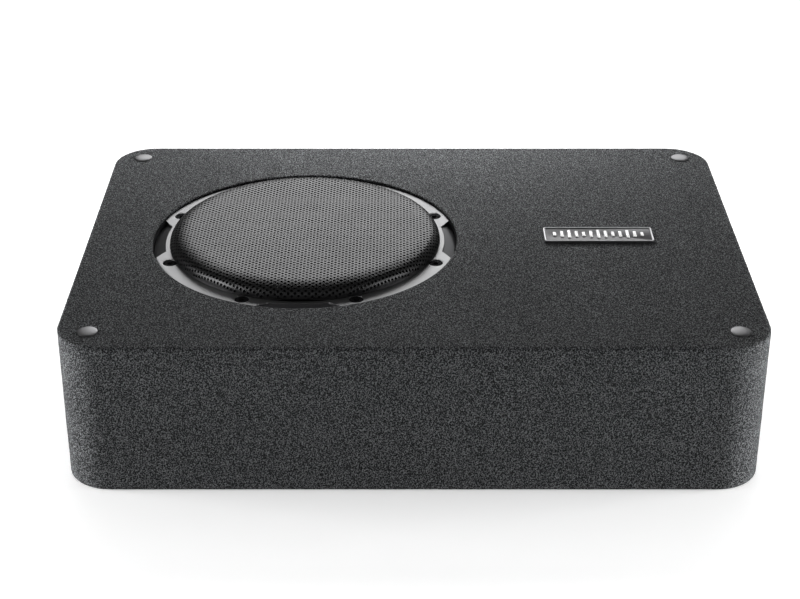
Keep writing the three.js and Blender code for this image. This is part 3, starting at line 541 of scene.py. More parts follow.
def fuzz(x, y, z, amount):
    fine = noise.noise(Vector((x, y, z)) * 1.1)
    broad = noise.noise(Vector((x, y, z)) * 0.035 + Vector((7, 3, 1)))
    return amount * fine + 0.12 * broad


def to_hole_edge(x, z):
    """How far a place is outside the amplifier panel's hole, and the nearest place on its outline."""
    centre_x, centre_z = (panel_low.x + panel_high.x) / 2, (panel_low.z + panel_high.z) / 2
    reach_x = (panel_high.x - panel_low.x + PANEL_HOLE_GAP) / 2 - PANEL_HOLE_R
    reach_z = (panel_high.z - panel_low.z + PANEL_HOLE_GAP) / 2 - PANEL_HOLE_R
    core_x = min(max(x - centre_x, -reach_x), reach_x)
    core_z = min(max(z - centre_z, -reach_z), reach_z)
    away = Vector((x - centre_x - core_x, z - centre_z - core_z))
    if away.length < 1e-6:
        return -PANEL_HOLE_R, (x, z)
    edge = Vector((core_x, core_z)) + away.normalized() * PANEL_HOLE_R
    return away.length - PANEL_HOLE_R, (edge.x + centre_x, edge.y + centre_z)


def make_side_carpet():
    outline = box_outline(1000)
    seam = BOX_TOP - 0.95
    rows = [(1.7, 0.15), (0.9, 0.25), (0.35, 0.65), (0.08, 1.2), (0, 2.0)]
    rows += [(0, z) for z in (
        5.5, 9, 12.5, 16.2, 17.6, 19.5, 22.5, 27, 31.5, 36, 40.5, 45.5, 50.5, 55.5, 60.5, 65, 69.5, 74, 78.5,
        81.5, 83.4, 84.8, 88.5, 92, 95.5, 98.5, seam - 1.5)]
    rows += [(0.08, seam - 0.8), (0.35, seam - 0.3), (0.9, seam), (1.5, seam)]
    verts = []
    for inset, z in rows:
        for x, y, nx, ny in outline:
            push = fuzz(x, y, z, 0.16) - inset - 0.15
            verts.append([x + nx * push, y + ny * push, z + 0.1 * noise.noise(Vector((x, y, 40))) * (z > 2)])
    count, levels = len(outline), len(rows)
    inner = len(verts)
    for inset, z in rows:
        push = -max(inset, CARPET_T) - 0.1
        verts += [[x + nx * push, y + ny * push, min(max(z, 0.4), seam - 0.3)] for x, y, nx, ny in outline]

    def removed(i, j):
        x = (outline[i][0] + outline[(i + 1) % count][0]) / 2
        return outline[i][1] > BOX_D / 2 - 1 and to_hole_edge(x, (rows[j][1] + rows[j + 1][1]) / 2)[0] < 0

    gone = {(i, j) for i in range(count) for j in range(levels - 1) if removed(i, j)}
    faces, lip = [], set()
    for i in range(count):
        n = (i + 1) % count
        for j in range(levels - 1):
            if (i, j) in gone:
                continue
            a, b, c, d = j * count + i, j * count + n, (j + 1) * count + n, (j + 1) * count + i
            faces += [[a, b, c, d], [inner + d, inner + c, inner + b, inner + a]]
            for (p, q), other in (((a, b), (i, j - 1)), ((c, d), (i, j + 1)),
                                  ((b, c), (n, j)), ((d, a), ((i - 1) % count, j))):
                if other in gone:
                    faces.append([q, p, inner + p, inner + q])
                    lip.update((p, q))
        a, b = i, n
        faces.append([a, inner + a, inner + b, b])
        a, b = a + (levels - 1) * count, b + (levels - 1) * count
        faces.append([b, inner + b, inner + a, a])
    for v in lip:
        _, (x, z) = to_hole_edge(verts[v][0], verts[v][2])
        for w in (v, inner + v):
            verts[w][0], verts[w][2] = x, z
        verts[v][1] -= 0.45
    piece("carpet_side", (verts, faces), "carpet", stands_for=["side_fabric"], crease=80)


def top_edge(ray):
    """Where a ray from the woofer's axis meets the box's outline, and the way out there."""
    half_w, half_d = BOX_W / 2, BOX_D / 2
    axis = Vector((WOOFER_X, 0))
    reach = min((half_w * (1 if ray.x > 0 else -1) - WOOFER_X) / ray.x if abs(ray.x) > 1e-9 else 1e9,
                half_d / abs(ray.y) if abs(ray.y) > 1e-9 else 1e9)
    point = axis + ray * reach
    core = Vector((min(max(point.x, -half_w + CORNER_R), half_w - CORNER_R),
                   min(max(point.y, -half_d + CORNER_R), half_d - CORNER_R)))
    away = point - core
    if away.x and away.y and away.length > CORNER_R:
        to_core = core - axis
        along = to_core.dot(ray)
        across = (to_core - ray * along).length
        point = axis + ray * (along + math.sqrt(max(CORNER_R ** 2 - across ** 2, 0)))
        away = point - core
    return point, away.normalized()


def make_top_carpet():
    """The sheet on top, from the woofer's hole to an edge that turns down to the seam."""
    count = 1000
    seam = BOX_TOP - 0.75
    axis = Vector((WOOFER_X, 0))
    profile = [("hole", out, BOX_TOP - down) for out, down in (
        (0.35, 1.9), (0.1, 1.5), (0.05, 0.8), (0.3, 0.3), (0.9, 0.05), (2.0, 0))]
    profile += [("mid", t, BOX_TOP) for t in (0.04, 0.1, 0.2, 0.32, 0.44, 0.56, 0.68, 0.8, 0.9, 0.96)]
    profile += [("edge", inset, BOX_TOP - down) for inset, down in (
        (3.0, 0), (1.6, 0.02), (0.8, 0.1), (0.3, 0.28), (0.08, 0.5))]
    profile += [("edge", 0.15, seam), ("edge", 1.7, seam)]
    profile += [("edge", 2.4, BOX_TOP - 2), ("hole", 1.5, BOX_TOP - 2)]
    rays = [Vector((math.cos(TAU * k / count), math.sin(TAU * k / count))) for k in range(count)]
    rays = [(ray, *top_edge(ray)) for ray in rays]
    loops = []
    for kind, value, z in profile:
        loop = []
        for ray, edge, out in rays:
            if kind == "hole":
                point = axis + ray * (HOLE_R + value)
            elif kind == "edge":
                point = edge - out * (value + 0.1)
            else:
                point = (axis + ray * (HOLE_R + 2.0)).lerp(edge - out * 3.0, value)
            rough = 0.12 if value < 3.0 and kind != "mid" else 0.0
            lift = rough * noise.noise(Vector((point.x, point.y, z)) * 1.1)
            if kind == "mid":
                lift = 0.10 * noise.noise(Vector((point.x, point.y, 0)) * 0.03)
            side = rough * noise.noise(Vector((point.x, point.y, z + 50)) * 1.1)
            loop.append((point.x + out.x * side, point.y + out.y * side, min(z + lift, BOX_TOP + 0.1)))
        loops.append(loop)
    piece("carpet_top", lofted(loops, closed=True), "carpet", stands_for=["top_fabric"], crease=80)


def make_bottom_carpet():
    profile = [(2.1, 1.9), (2.2, 0.6), (2.6, 0.12), (3.4, 0.0), (8, 0.05), (30, 0.1), (30, 1.9)]
    loops = plate_loops(BOX_W, BOX_D, CORNER_R + 4, profile, 24)
    piece("carpet_bottom", lofted(loops), "carpet", stands_for=["bottom_fabric"], crease=60)


# ---------------------------------------------------------------- woofer frame

NOTCH_INNER_R = 95.6
NOTCH_INNER_HALF = 11.7
NOTCH_OUTER_HALF = 16.7
NOTCH_GRID_HALF = 18.6
NOTCH_EDGE_DEPTH = 0.6
NOTCH_RIM_DEPTH = 3.7
SCREWS = 8
SCREW_PITCH = 360 / SCREWS
SCREW_CIRCLE_R = 96.3
SCREW_RECESS_R = 4.7
RECESS_FLOOR = FLANGE_TOP - 3.0
# The part of the grid that is cut out round each screw.
BLOCK_HALF = 3.6
BLOCK_LOW, BLOCK_HIGH = 90.9, 101.7
WINDOW_PITCH = 60
WINDOW_HALF = 19.5


def smooth_step(value, low, high):
    t = min(max((value - low) / (high - low), 0), 1)
    return t * t * (3 - 2 * t)


def frame_angles():
    """The grid's lines round the frame in degrees, finer at the notches and the screws."""
    half = [0, 2, 4, 6, 8, 9.5, 10.6, 11.2, 11.45, 11.55, 11.65, 11.75, 11.85, 11.95, 12.2, 12.8, 14, 15.5,
            17, 18.2]
    half += [SCREW_PITCH / 2 - BLOCK_HALF + 0.6 * k for k in range(13)]
    half += [27.5, 29.5, 31.5, 33.5, 35.5, 37.5, 39.5, 41.5, 43.3]
    quarter = [-a for a in half[:0:-1]] + half + [45.0]
    return [90.0 * k + a for k in range(4) for a in quarter]


def from_notch(angle):
    """The angle from the nearest notch's middle."""
    return (angle + 45) % 90 - 45


def flared(angle, radius):
    """The grid's line moved outwards so that it follows the flared side of a notch."""
    local = from_notch(angle)
    share = min(max((radius - NOTCH_INNER_R) / (FLANGE_R - NOTCH_INNER_R), 0), 1)
    half = NOTCH_INNER_HALF + (NOTCH_OUTER_HALF - NOTCH_INNER_HALF) * share
    size = abs(local)
    if size <= NOTCH_INNER_HALF:
        size *= half / NOTCH_INNER_HALF
    elif size < NOTCH_GRID_HALF:
        span = NOTCH_GRID_HALF - NOTCH_INNER_HALF
        size = half + (size - NOTCH_INNER_HALF) * (NOTCH_GRID_HALF - half) / span
    return angle - local + math.copysign(size, local)


def notch_drop(angle, radius):
    inside = 1 - smooth_step(abs(from_notch(angle)), NOTCH_INNER_HALF - 0.2, NOTCH_INNER_HALF + 0.2)
    cut = smooth_step(radius, NOTCH_INNER_R - 0.12, NOTCH_INNER_R + 0.12)
    share = (radius - NOTCH_INNER_R) / (FLANGE_R - NOTCH_INNER_R)
    return (NOTCH_EDGE_DEPTH + (NOTCH_RIM_DEPTH - NOTCH_EDGE_DEPTH) * share) * inside * cut


def make_frame():
    """The cast frame: a closed grid of rings round the axis, with recesses and windows cut in it."""
    angles = frame_angles()
    count = len(angles)
    top = FLANGE_TOP
    face_rows = [(FLANGE_INNER_R, top - 0.45), (88.12, top - 0.13)]
    face_rows += [(r, top) for r in (
        88.45, 89.4, 90.2, *(BLOCK_LOW + 0.6 * k for k in range(8)), 95.42, 95.52, 95.6, 95.68, 95.78, 96.3,
        96.9, 97.5, 98.1, 98.7, 99.3, 99.9, 100.5, 101.1, BLOCK_HIGH, 102.6, FLANGE_R - 0.35)]
    face_rows += [(FLANGE_R - 0.12, top - 0.08), (FLANGE_R, top - 0.35)]
    outer_wall = [(FLANGE_R, FLANGE_BOTTOM + 0.3), (FLANGE_R - 0.3, FLANGE_BOTTOM), (91.2, FLANGE_BOTTOM),
                  (90.4, FLANGE_BOTTOM - 0.6), (87.9, 91)]
    outer_arm = [(86.33, 85), (86, 84), (81.9, 79.5), (77.8, 75), (74.2, 71), (70.5, 67)]
    base = [(68.3, 64.5), (66, 62), (60.8, 59.3), (55, 56.3), (36.4, 56.3), (36, 56.7), (36, 58.6),
            (36.4, 59), (56.5, 59), (60.5, 64.5), (64, 64.5)]
    inner_arm = [(66.0, 67), (69.3, 71), (72.5, 75), (76.2, 79.5), (79.9, 84), (80.7, 85)]
    inner_wall = [(81.5, 86), (82.7, 94), (83.2, 96), (87.6, 96), (FLANGE_INNER_R, 96.4)]
    rows = face_rows + outer_wall + outer_arm + base + inner_arm + inner_wall
    verts, index = [], []
    for j, (radius, height) in enumerate(rows):
        index.append(range(len(verts), len(verts) + count))
        for angle in angles:
            turn = math.radians(flared(angle, radius) if radius > 95 else angle)
            drop = notch_drop(angle, radius) if j < len(face_rows) else 0
            verts.append((radius * math.cos(turn), radius * math.sin(turn), height - drop))

    low_row, high_row = (next(j for j, (r, _) in enumerate(face_rows) if abs(r - edge) < 1e-6)
                         for edge in (BLOCK_LOW, BLOCK_HIGH))
    out_first = len(face_rows) + len(outer_wall)
    out_last = out_first + len(outer_arm) - 1
    in_first = out_last + 1 + len(base)
    in_last = in_first + len(inner_arm) - 1

    def from_middle(i, pitch):
        """How far a cell is from the nearest of the middles, which lie a pitch apart."""
        middle = (angles[i] + angles[(i + 1) % count] + (360 if i == count - 1 else 0)) / 2
        return abs(middle % pitch - pitch / 2)

    def in_block(i, j):
        return low_row <= j < high_row and from_middle(i, SCREW_PITCH) < BLOCK_HALF

    def in_window(i, j):
        at_arm = out_first <= j < out_last or in_first <= j < in_last
        return at_arm and from_middle(i, WINDOW_PITCH) < WINDOW_HALF

    faces = []
    for j in range(len(rows)):
        here, above = index[j], index[(j + 1) % len(rows)]
        for i in range(count):
            if not (in_block(i, j) or in_window(i, j)):
                faces.append([here[i], here[(i + 1) % count], above[(i + 1) % count], above[i]])
    last = len(outer_arm) - 1
    for k in range(last + 1):
        out_row, in_row = index[out_first + k], index[in_last - k]
        for i in range(count):
            n, p = (i + 1) % count, (i - 1) % count
            if k in (0, last) and in_window(i, out_first + min(k, last - 1)):
                faces.append([out_row[i], out_row[n], in_row[n], in_row[i]])
            if k < last and in_window(i, out_first + k) != in_window(p, out_first + k):
                faces.append([out_row[i], index[out_first + k + 1][i], index[in_last - k - 1][i], in_row[i]])

    for s in range(SCREWS):
        middle = SCREW_PITCH * (s + 0.5)
        inside = [i for i in range(count) if abs((angles[i] - middle + 180) % 360 - 180) < BLOCK_HALF + 0.05]
        inside.sort(key=lambda i: (angles[i] - middle + 180) % 360)
        loop = [index[low_row][i] for i in inside]
        loop += [index[j][inside[-1]] for j in range(low_row + 1, high_row)]
        loop += [index[high_row][i] for i in reversed(inside)]
        loop += [index[j][inside[0]] for j in range(high_row - 1, low_row, -1)]
        cx = SCREW_CIRCLE_R * math.cos(math.radians(middle))
        cy = SCREW_CIRCLE_R * math.sin(math.radians(middle))
        rings = [loop]
        for radius, height in ((5.05, top), (4.82, top - 0.07), (SCREW_RECESS_R, top - 0.3),
                               (SCREW_RECESS_R, RECESS_FLOOR), (2.4, RECESS_FLOOR)):
            rings.append(range(len(verts), len(verts) + len(loop)))
            for v in loop:
                away = Vector((verts[v][0] - cx, verts[v][1] - cy)).normalized()
                verts.append((cx + away.x * radius, cy + away.y * radius, height))
        faces += bands(*rings) + [list(rings[-1])]
    piece("woofer_frame", moved((verts, faces), woofer_at), "casting", stands_for=["woofer_basket"],
          crease=32)


def hex_radius(angle, flat):
    """The radius of a hexagon at an angle, from the distance to its flats."""
    sixth = math.pi / 3
    return flat / math.cos((angle + sixth / 2) % sixth - sixth / 2)


def make_flange_screws():
    """Socket-head screws, sunk in the frame's recesses."""
    segments = 48
    top = FLANGE_TOP - 0.45
    washer = RECESS_FLOOR + 0.06
    for s in range(SCREWS):
        node = f"woofer_screw_{s + 1}"
        low, high = node_box(node)
        centre = (low + high) / 2
        rows = [(0.05, low.z), (1.6, low.z), (2.0, low.z + 0.5), (2.0, washer), (4.45, washer),
                (4.6, washer + 0.15), (4.6, top - 0.35), (4.5, top - 0.1), (4.3, top), (2.6, top)]
        socket = [(1.85, top - 0.02), (1.75, top - 0.15), (1.72, top - 1.5)]
        turn = math.atan2(centre.y, centre.x - WOOFER_X)
        loops = []
        for size, z in rows + socket + [(0.05, top - 1.7)]:
            angles = [TAU * k / segments for k in range(segments)]
            sizes = [hex_radius(angle, size) if (size, z) in socket else size for angle in angles]
            loops.append([(centre.x + r * math.cos(angle + turn), centre.y + r * math.sin(angle + turn), z)
                          for r, angle in zip(sizes, angles)])
        piece(f"flange_screw_{s + 1}", lofted(loops), "screw", stands_for=[node], crease=40)


# ---------------------------------------------------------------- grille

HOLE_COLUMN = 2.26
HOLE_ROW = 3.6
HOLE_SIDES = 8
GRILLE_HOLE_R = 0.98
GRILLE_T = 1.2
GRILLE_RIM_SIDES = 420
GRILLE_RIM_W = 1.7
CROWN_W = 14.0
CROWN_TILT = math.radians(15.0)
CROWN_DROP = CROWN_W * CROWN_TILT / 3
GRILLE_ROLL_R = (grille_high.z - grille_low.z - CROWN_DROP) / math.cos(CROWN_TILT)
ROLL_START_R = GRILLE_R - GRILLE_ROLL_R * (1 - math.sin(CROWN_TILT))
FLAT_R = ROLL_START_R - CROWN_W
SHEET_R = ROLL_START_R + GRILLE_ROLL_R * (math.pi / 2 - CROWN_TILT)
# The sheet is made as two pieces, one inside this radius and one outside.
SPLIT_R = 74.0


def on_grille(u, v, depth):
    """A point of the flat perforated sheet, eased down over a crown and then a rolled edge."""
    reach = math.hypot(u, v)
    if reach <= FLAT_R:
        return (u, v, grille_high.z - depth)
    if reach <= ROLL_START_R:
        share = (reach - FLAT_R) / CROWN_W
        bend = CROWN_TILT * share ** 2
        radius, height = reach, grille_high.z - CROWN_DROP * share ** 3
    else:
        bend = CROWN_TILT + (reach - ROLL_START_R) / GRILLE_ROLL_R
        radius = ROLL_START_R + GRILLE_ROLL_R * (math.sin(bend) - math.sin(CROWN_TILT))
        height = grille_low.z + GRILLE_ROLL_R * math.cos(bend)
    radius -= depth * math.sin(bend)
    return (u / reach * radius, v / reach * radius, height - depth * math.cos(bend))


def zipped(outer, outer_angles, inner, inner_angles):
    """Triangles between two rings of points, walked round by angle."""
    faces = []
    i = j = 0
    outer_turns = outer_angles + [outer_angles[0] + TAU]
    inner_turns = inner_angles + [inner_angles[0] + TAU]
    while i < len(outer) or j < len(inner):
        if j == len(inner) or (i < len(outer) and outer_turns[i + 1] <= inner_turns[j + 1]):
            faces.append([outer[i], outer[(i + 1) % len(outer)], inner[j % len(inner)]])
            i += 1
        else:
            faces.append([outer[i % len(outer)], inner[(j + 1) % len(inner)], inner[j]])
            j += 1
    return faces


def perforated(cells, foot=False):
    """A closed sheet of six-sided cells with round holes. With a foot, a plain band follows."""
    point = (HOLE_COLUMN ** 2 + (HOLE_ROW / 2) ** 2) / (2 * HOLE_COLUMN)
    side = HOLE_COLUMN - point
    shoulders = [(point, 0), (side, HOLE_ROW / 2), (-side, HOLE_ROW / 2),
                 (-point, 0), (-side, -HOLE_ROW / 2), (side, -HOLE_ROW / 2)]
    flat, faces, corners, sides, holes = [], [], {}, {}, []

    def corner(u, v):
        """The number of a cell's corner, which the cells next to it share."""
        a, b = round(u / 0.01), round(v / 0.01)
        for near in ((a + du, b + dv) for du in (0, -1, 1) for dv in (0, -1, 1)):
            if near in corners:
                return corners[near]
        corners[a, b] = len(flat)
        flat.append((u, v))
        return corners[a, b]

    corner_angles = [math.atan2(dv, du) % TAU for du, dv in shoulders]
    hole_angles = [TAU * (k + 0.5) / HOLE_SIDES for k in range(HOLE_SIDES)]
    for u, v in cells:
        outer = [corner(u + du, v + dv) for du, dv in shoulders]
        holes.append(list(range(len(flat), len(flat) + HOLE_SIDES)))
        flat += [(u + GRILLE_HOLE_R * math.cos(angle), v + GRILLE_HOLE_R * math.sin(angle))
                 for angle in hole_angles]
        faces += zipped(outer, corner_angles, holes[-1], hole_angles)
        for k in range(6):
            edge = (outer[k], outer[(k + 1) % 6])
            if sides.pop(edge[::-1], None) is None:
                sides[edge] = True
    after = dict(sides.keys())
    rims = []
    while after:
        start, here = next(iter(after.items()))
        loop = [start]
        del after[start]
        while here != start:
            loop.append(here)
            here = after.pop(here)
        rims.append(loop)
    if foot:
        rims.sort(key=lambda loop: -max(math.hypot(*flat[i]) for i in loop))
        jagged = rims.pop(0)
        circle = list(range(len(flat), len(flat) + GRILLE_RIM_SIDES))
        flat += [(u, v) for u, v, _ in around((0, 0), SHEET_R, 0, GRILLE_RIM_SIDES)]
        both = circle + jagged
        lines = [[Vector((*flat[i], 0)) for i in loop] for loop in (circle, jagged)]
        faces += [[both[i] for i in tri] for tri in geometry.tessellate_polygon(lines)]
        rims.append(circle)
    size = len(flat)
    verts = [on_grille(u, v, 0) for u, v in flat] + [on_grille(u, v, GRILLE_T) for u, v in flat]
    faces += [[i + size for i in face[::-1]] for face in faces]
    for loop in holes + rims:
        faces += bands(loop, [i + size for i in loop])
    return verts, faces


def make_grille():
    columns = int(SHEET_R / HOLE_COLUMN) + 1
    rows = int(SHEET_R / HOLE_ROW) + 1
    cells = [(c * HOLE_COLUMN, (r + 0.5 * (c % 2)) * HOLE_ROW)
             for c in range(-columns, columns + 1) for r in range(-rows, rows + 1)]
    top = [cell for cell in cells if math.hypot(*cell) < SPLIT_R]
    edge = [cell for cell in cells if SPLIT_R <= math.hypot(*cell) < SHEET_R - GRILLE_RIM_W]
    for name, sheet in (("grille_top", perforated(top)), ("grille_edge", perforated(edge, foot=True))):
        piece(name, moved(sheet, woofer_at), "grille", stands_for=["grille"], crease=50)


# ---------------------------------------------------------------- cone and suspension

CONE_NECK_R, CONE_NECK_Z = 26.4, 76
CONE_WAIST_R, CONE_WAIST_Z = 42, 88
CONE_EDGE_R, CONE_EDGE_Z = 64.5, 94.3
RIB_FIRST_R, RIB_LAST_R = 38.0, 61.0
RIB_PITCH = 7.6
RIB_DEPTH = 1.5
ROLL_MIDDLE_R, ROLL_R, ROLL_Z = 75.6, 6.4, 96.4
SPIDER_FIRST_R, SPIDER_LAST_R = 27.5, 60.5
SPIDER_WAVES, SPIDER_WAVE_H, SPIDER_Z = 5, 1.3, 65.6
PAPER_T, SURROUND_T, SPIDER_T = 1.1, 0.8, 0.5
DOME_R, DOME_RISE, DOME_TOP_Z = 34.0, 8.0, 91.3


def sector(profile, first, last, steps=10):
    """A closed slice of a ring, between two angles in degrees."""
    angles = [math.radians(first + (last - first) * k / steps) for k in range(steps + 1)]
    return lofted([[(WOOFER_X + r * math.cos(angle), r * math.sin(angle), z) for r, z in profile]
                   for angle in angles])


def thick_line(line, thickness):
    return line + [(r, z + thickness) for r, z in reversed(line)]


def stretch_ring(node, profile, look, sectors=12):
    """A ring between the frame and the cone, in sectors that each reach from rim to cone."""
    for s in range(sectors):
        first, last = 360 / sectors * s, 360 / sectors * (s + 1)
        made = piece(f"{node}_{s + 1}", sector(profile, first, last), look, None, [node], 50)
        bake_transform(made)


def make_suspension():
    roll = [(ROLL_MIDDLE_R + ROLL_R * math.cos(a), ROLL_Z - ROLL_R * math.sin(a))
            for a in (math.pi - math.pi * k / 16 for k in range(1, 16))]
    surround = [(64.6, 95.8), (66.5, 95.8), (68.6, 95.8)] + roll + [(82.5, 96.3), (85, 96.3), (87.5, 96.3)]
    stretch_ring("surround", thick_line(surround, SURROUND_T), "rubber")

    steps = 36
    width = SPIDER_LAST_R - SPIDER_FIRST_R
    radii = [SPIDER_FIRST_R + width * k / steps for k in range(steps + 1)]
    waves = [(r, SPIDER_Z + SPIDER_WAVE_H * math.sin((r - SPIDER_FIRST_R) / width * SPIDER_WAVES * TAU))
             for r in radii]
    spider = [(26.4, 65.2)] + waves + [(61.5, 65.2), (62.9, 65.2)]
    stretch_ring("spider", thick_line(spider, SPIDER_T), "cloth")


def make_cone():
    line = []
    steps = 96
    for k in range(steps + 1):
        t = k / steps
        radius = (1 - t) ** 2 * CONE_NECK_R + 2 * t * (1 - t) * CONE_WAIST_R + t * t * CONE_EDGE_R
        height = (1 - t) ** 2 * CONE_NECK_Z + 2 * t * (1 - t) * CONE_WAIST_Z + t * t * CONE_EDGE_Z
        ribbed = smooth_step(radius, RIB_FIRST_R - 3, RIB_FIRST_R)
        ribbed -= smooth_step(radius, RIB_LAST_R, RIB_LAST_R + 3)
        height -= RIB_DEPTH / 2 * ribbed * (1 + math.cos(TAU * (radius - RIB_FIRST_R) / RIB_PITCH))
        line.append((radius, height))
    line += [(66.5, 94.4), (68.4, 94.4)]
    piece("cone_paper", moved(turned(thick_line(line, PAPER_T), 120, True), woofer_at), "paper",
          "cone_assembly", ["cone"], 60)
    ball = (DOME_R ** 2 + DOME_RISE ** 2) / (2 * DOME_RISE)
    sweeps = [math.asin(DOME_R / ball) * (1 - k / 10) for k in range(1, 10)]
    outer = [(ball * math.sin(a), DOME_TOP_Z - ball + ball * math.cos(a)) for a in sweeps]
    inner = [(r - 0.4, z - 0.9) for r, z in reversed(outer)]
    dome = [(34.8, 83.2)] + outer + [(0, DOME_TOP_Z), (0, DOME_TOP_Z - 0.9)] + inner + [(33.8, 82.4)]
    piece("dust_dome", moved(turned(dome, 96, True), woofer_at), "black_paper", "cone_assembly",
          ["dust_cap"], 40)


# ---------------------------------------------------------------- caps and badge

BADGE_RIM = 1.2
BAR_LENGTHS = [6, 9, 12, 9, 7, 10, 13, 10, 7, 9, 12, 9, 6]
BAR_PITCH, BAR_W, BAR_T = 5.0, 2.1, 0.6


def make_caps():
    for corner in ("front_left", "front_right", "back_left", "back_right"):
        low, high = node_box("corner_cap_" + corner)
        radius, seat = (high.x - low.x) / 2, BOX_TOP - 0.1
        dome = [(radius * math.sin(math.radians(a)),
                 seat + 0.7 + (high.z - seat - 0.7) * math.cos(math.radians(a))) for a in range(0, 86, 5)]
        profile = dome + [(radius, seat + 0.55), (radius - 0.05, seat + 0.1), (radius - 0.3, seat),
                          (2.8, seat), (2.8, low.z + 0.4), (2.4, low.z), (0, low.z)]
        place = ((low.x + high.x) / 2, (low.y + high.y) / 2, 0)
        piece("cap_" + corner, moved(turned(profile, 64), place), "satin",
              stands_for=["corner_cap_" + corner], crease=50)


def make_badge():
    low, high = node_box("badge_frame")
    plate_low, plate_high = node_box("badge_plate")
    at = ((low.x + high.x) / 2, (low.y + high.y) / 2, 0)
    top, bottom = high.z, low.z
    profile = [(0.25, bottom), (0, bottom + 0.25), (0, top - 0.4), (0.1, top - 0.14), (0.35, top),
               (BADGE_RIM - 0.25, top), (BADGE_RIM - 0.06, top - 0.1), (BADGE_RIM, top - 0.3),
               (BADGE_RIM, bottom + 0.7)]
    bezel = lofted(plate_loops(high.x - low.x, high.y - low.y, 2.2, profile, 8))
    piece("badge_bezel", moved(bezel, at), "bright", stands_for=["badge_frame"], crease=45)
    face = plate_high.z - 0.5
    profile = [(0.15, plate_low.z), (0, plate_low.z + 0.1), (0, face - 0.12), (0.12, face)]
    field = lofted(plate_loops(plate_high.x - plate_low.x, plate_high.y - plate_low.y, 1.2, profile))
    piece("badge_field", moved(field, at), "field", stands_for=["badge_plate"], crease=45)
    bars = []
    for i, length in enumerate(BAR_LENGTHS):
        x = at[0] + (i - (len(BAR_LENGTHS) - 1) / 2) * BAR_PITCH
        bars.append(soft_block((BAR_W, length, BAR_T), (x, at[1], face + 0.3), 0.12, 0.9, 4))
    piece("badge_bars", joined(*bars), "enamel", stands_for=["badge_plate"], crease=45)


# ---------------------------------------------------------------- amplifier panel

# Turns (across, up, outwards) into the back wall's directions.
TO_BACK = Matrix(((1, 0, 0), (0, 0, 1), (0, 1, 0)))
PANEL_X = (panel_low.x + panel_high.x) / 2
PANEL_Z = (panel_low.z + panel_high.z) / 2
PANEL_FACE = panel_high.y
WELL_FLOOR = PANEL_FACE - 18.0
WELL_BACK = panel_low.y
WELL_W, WELL_H, WELL_R = 143.4, 49.4, 3.7
TUB_W, TUB_H, TUB_R = 147.4, 53.4, 5.7
SEAT = WELL_FLOOR + 0.3
WIRE_PITCH = 13
WIRE_SPOTS = (-WIRE_PITCH, 0, WIRE_PITCH)
# How far below and above the terminal block's middle its sockets and its screws are.
SOCKET_ROW, CLAMP_SCREW_ROW = -3.5, 5.6


def on_panel(node):
    """A control's centre across and up from the panel's."""
    low, high = node_box(node)
    return (low.x + high.x) / 2 - PANEL_X, (low.z + high.z) / 2 - PANEL_Z


def back_piece(name, shape, look, body="cabinet", nodes=(), crease=38.0, spot=(0, 0)):
    place = (PANEL_X + spot[0], 0, PANEL_Z + spot[1])
    piece(name, moved(shape, place, TO_BACK), look, body, nodes, crease)


KNOBS = {"level_knob": "level", "lowpass_knob": "lowpass", "boost_knob": "boost"}
knob_spots = {node: on_panel(node) for node in KNOBS}
light_spot, terminal_spot, fuse_spot, input_spot = map(on_panel, (
    "power_light", "power_terminal", "fuse", "line_input"))
# The switch stands at one end of its slot.
switch_spot = (on_panel("phase_switch")[0] + 1.5, on_panel("phase_switch")[1])


def make_panel():
    flange_back = PANEL_FACE - 1.8
    shell = Shell()

    def outline(w, h, radius, at_height):
        return shell.loop(oblong((0, 0), w, h, radius, at_height, 8))

    width, height = panel_high.x - panel_low.x, panel_high.z - panel_low.z
    back_edge = outline(width, height, 5, flange_back)
    rim = [outline(width - 2 * inset, height - 2 * inset, 5 - inset, PANEL_FACE - down)
           for inset, down in ((0, 0.7), (0.1, 0.3), (0.3, 0.1), (0.7, 0))]
    mouth = [outline(WELL_W + 2 * out, WELL_H + 2 * out, WELL_R + out, PANEL_FACE - down)
             for out, down in ((1.0, 0), (0.5, 0.12), (0.15, 0.45), (0, 1.0))]
    foot = [outline(WELL_W - 2 * inset, WELL_H - 2 * inset, WELL_R - inset, WELL_FLOOR + up)
            for inset, up in ((0, 1.2), (0.15, 0.5), (0.5, 0.15), (1.2, 0))]
    tub_edge, tub_back = (outline(TUB_W, TUB_H, TUB_R, level) for level in (flange_back, WELL_BACK))
    shell.band(back_edge, *rim)
    shell.band(*mouth, *foot)
    shell.band(tub_edge, tub_back)

    def holes(draw, spot, values, levels):
        """Cuts a hole through these levels, and gives its first and its last loop."""
        loops = [shell.loop(draw(spot, *size, level)) for size, level in zip(values, levels)]
        shell.band(*loops)
        return loops[0], loops[-1]

    screws = [holes(around, on_panel(f"panel_screw_{k}"), ((2.9,), (1.6,), (1.6,)),
                    (PANEL_FACE, PANEL_FACE - 1.5, flange_back)) for k in range(1, 5)]
    shell.area(rim[-1], mouth[0], *(front for front, _ in screws))
    shell.area(back_edge, tub_edge, *(back for _, back in screws))
    slots = [(oblong, terminal_spot, (30.6, 8.6, 0.6)), (oblong, fuse_spot, (14.6, 3.6, 0.6)),
             (oblong, input_spot, (24.6, 6.6, 0.6)), (oblong, switch_spot, (10.6, 3.6, 1.7)),
             (around, light_spot, (2.5,)), *((around, spot, (3.3,)) for spot in knob_spots.values())]
    wells = [holes(draw, spot, (size, size), (WELL_FLOOR, WELL_BACK)) for draw, spot, size in slots]
    shell.area(foot[-1], *(front for front, _ in wells))
    shell.area(tub_back, *(back for _, back in wells))
    back_piece("panel_pan", shell.shape(), "black_steel", nodes=["amp_panel"], crease=35)


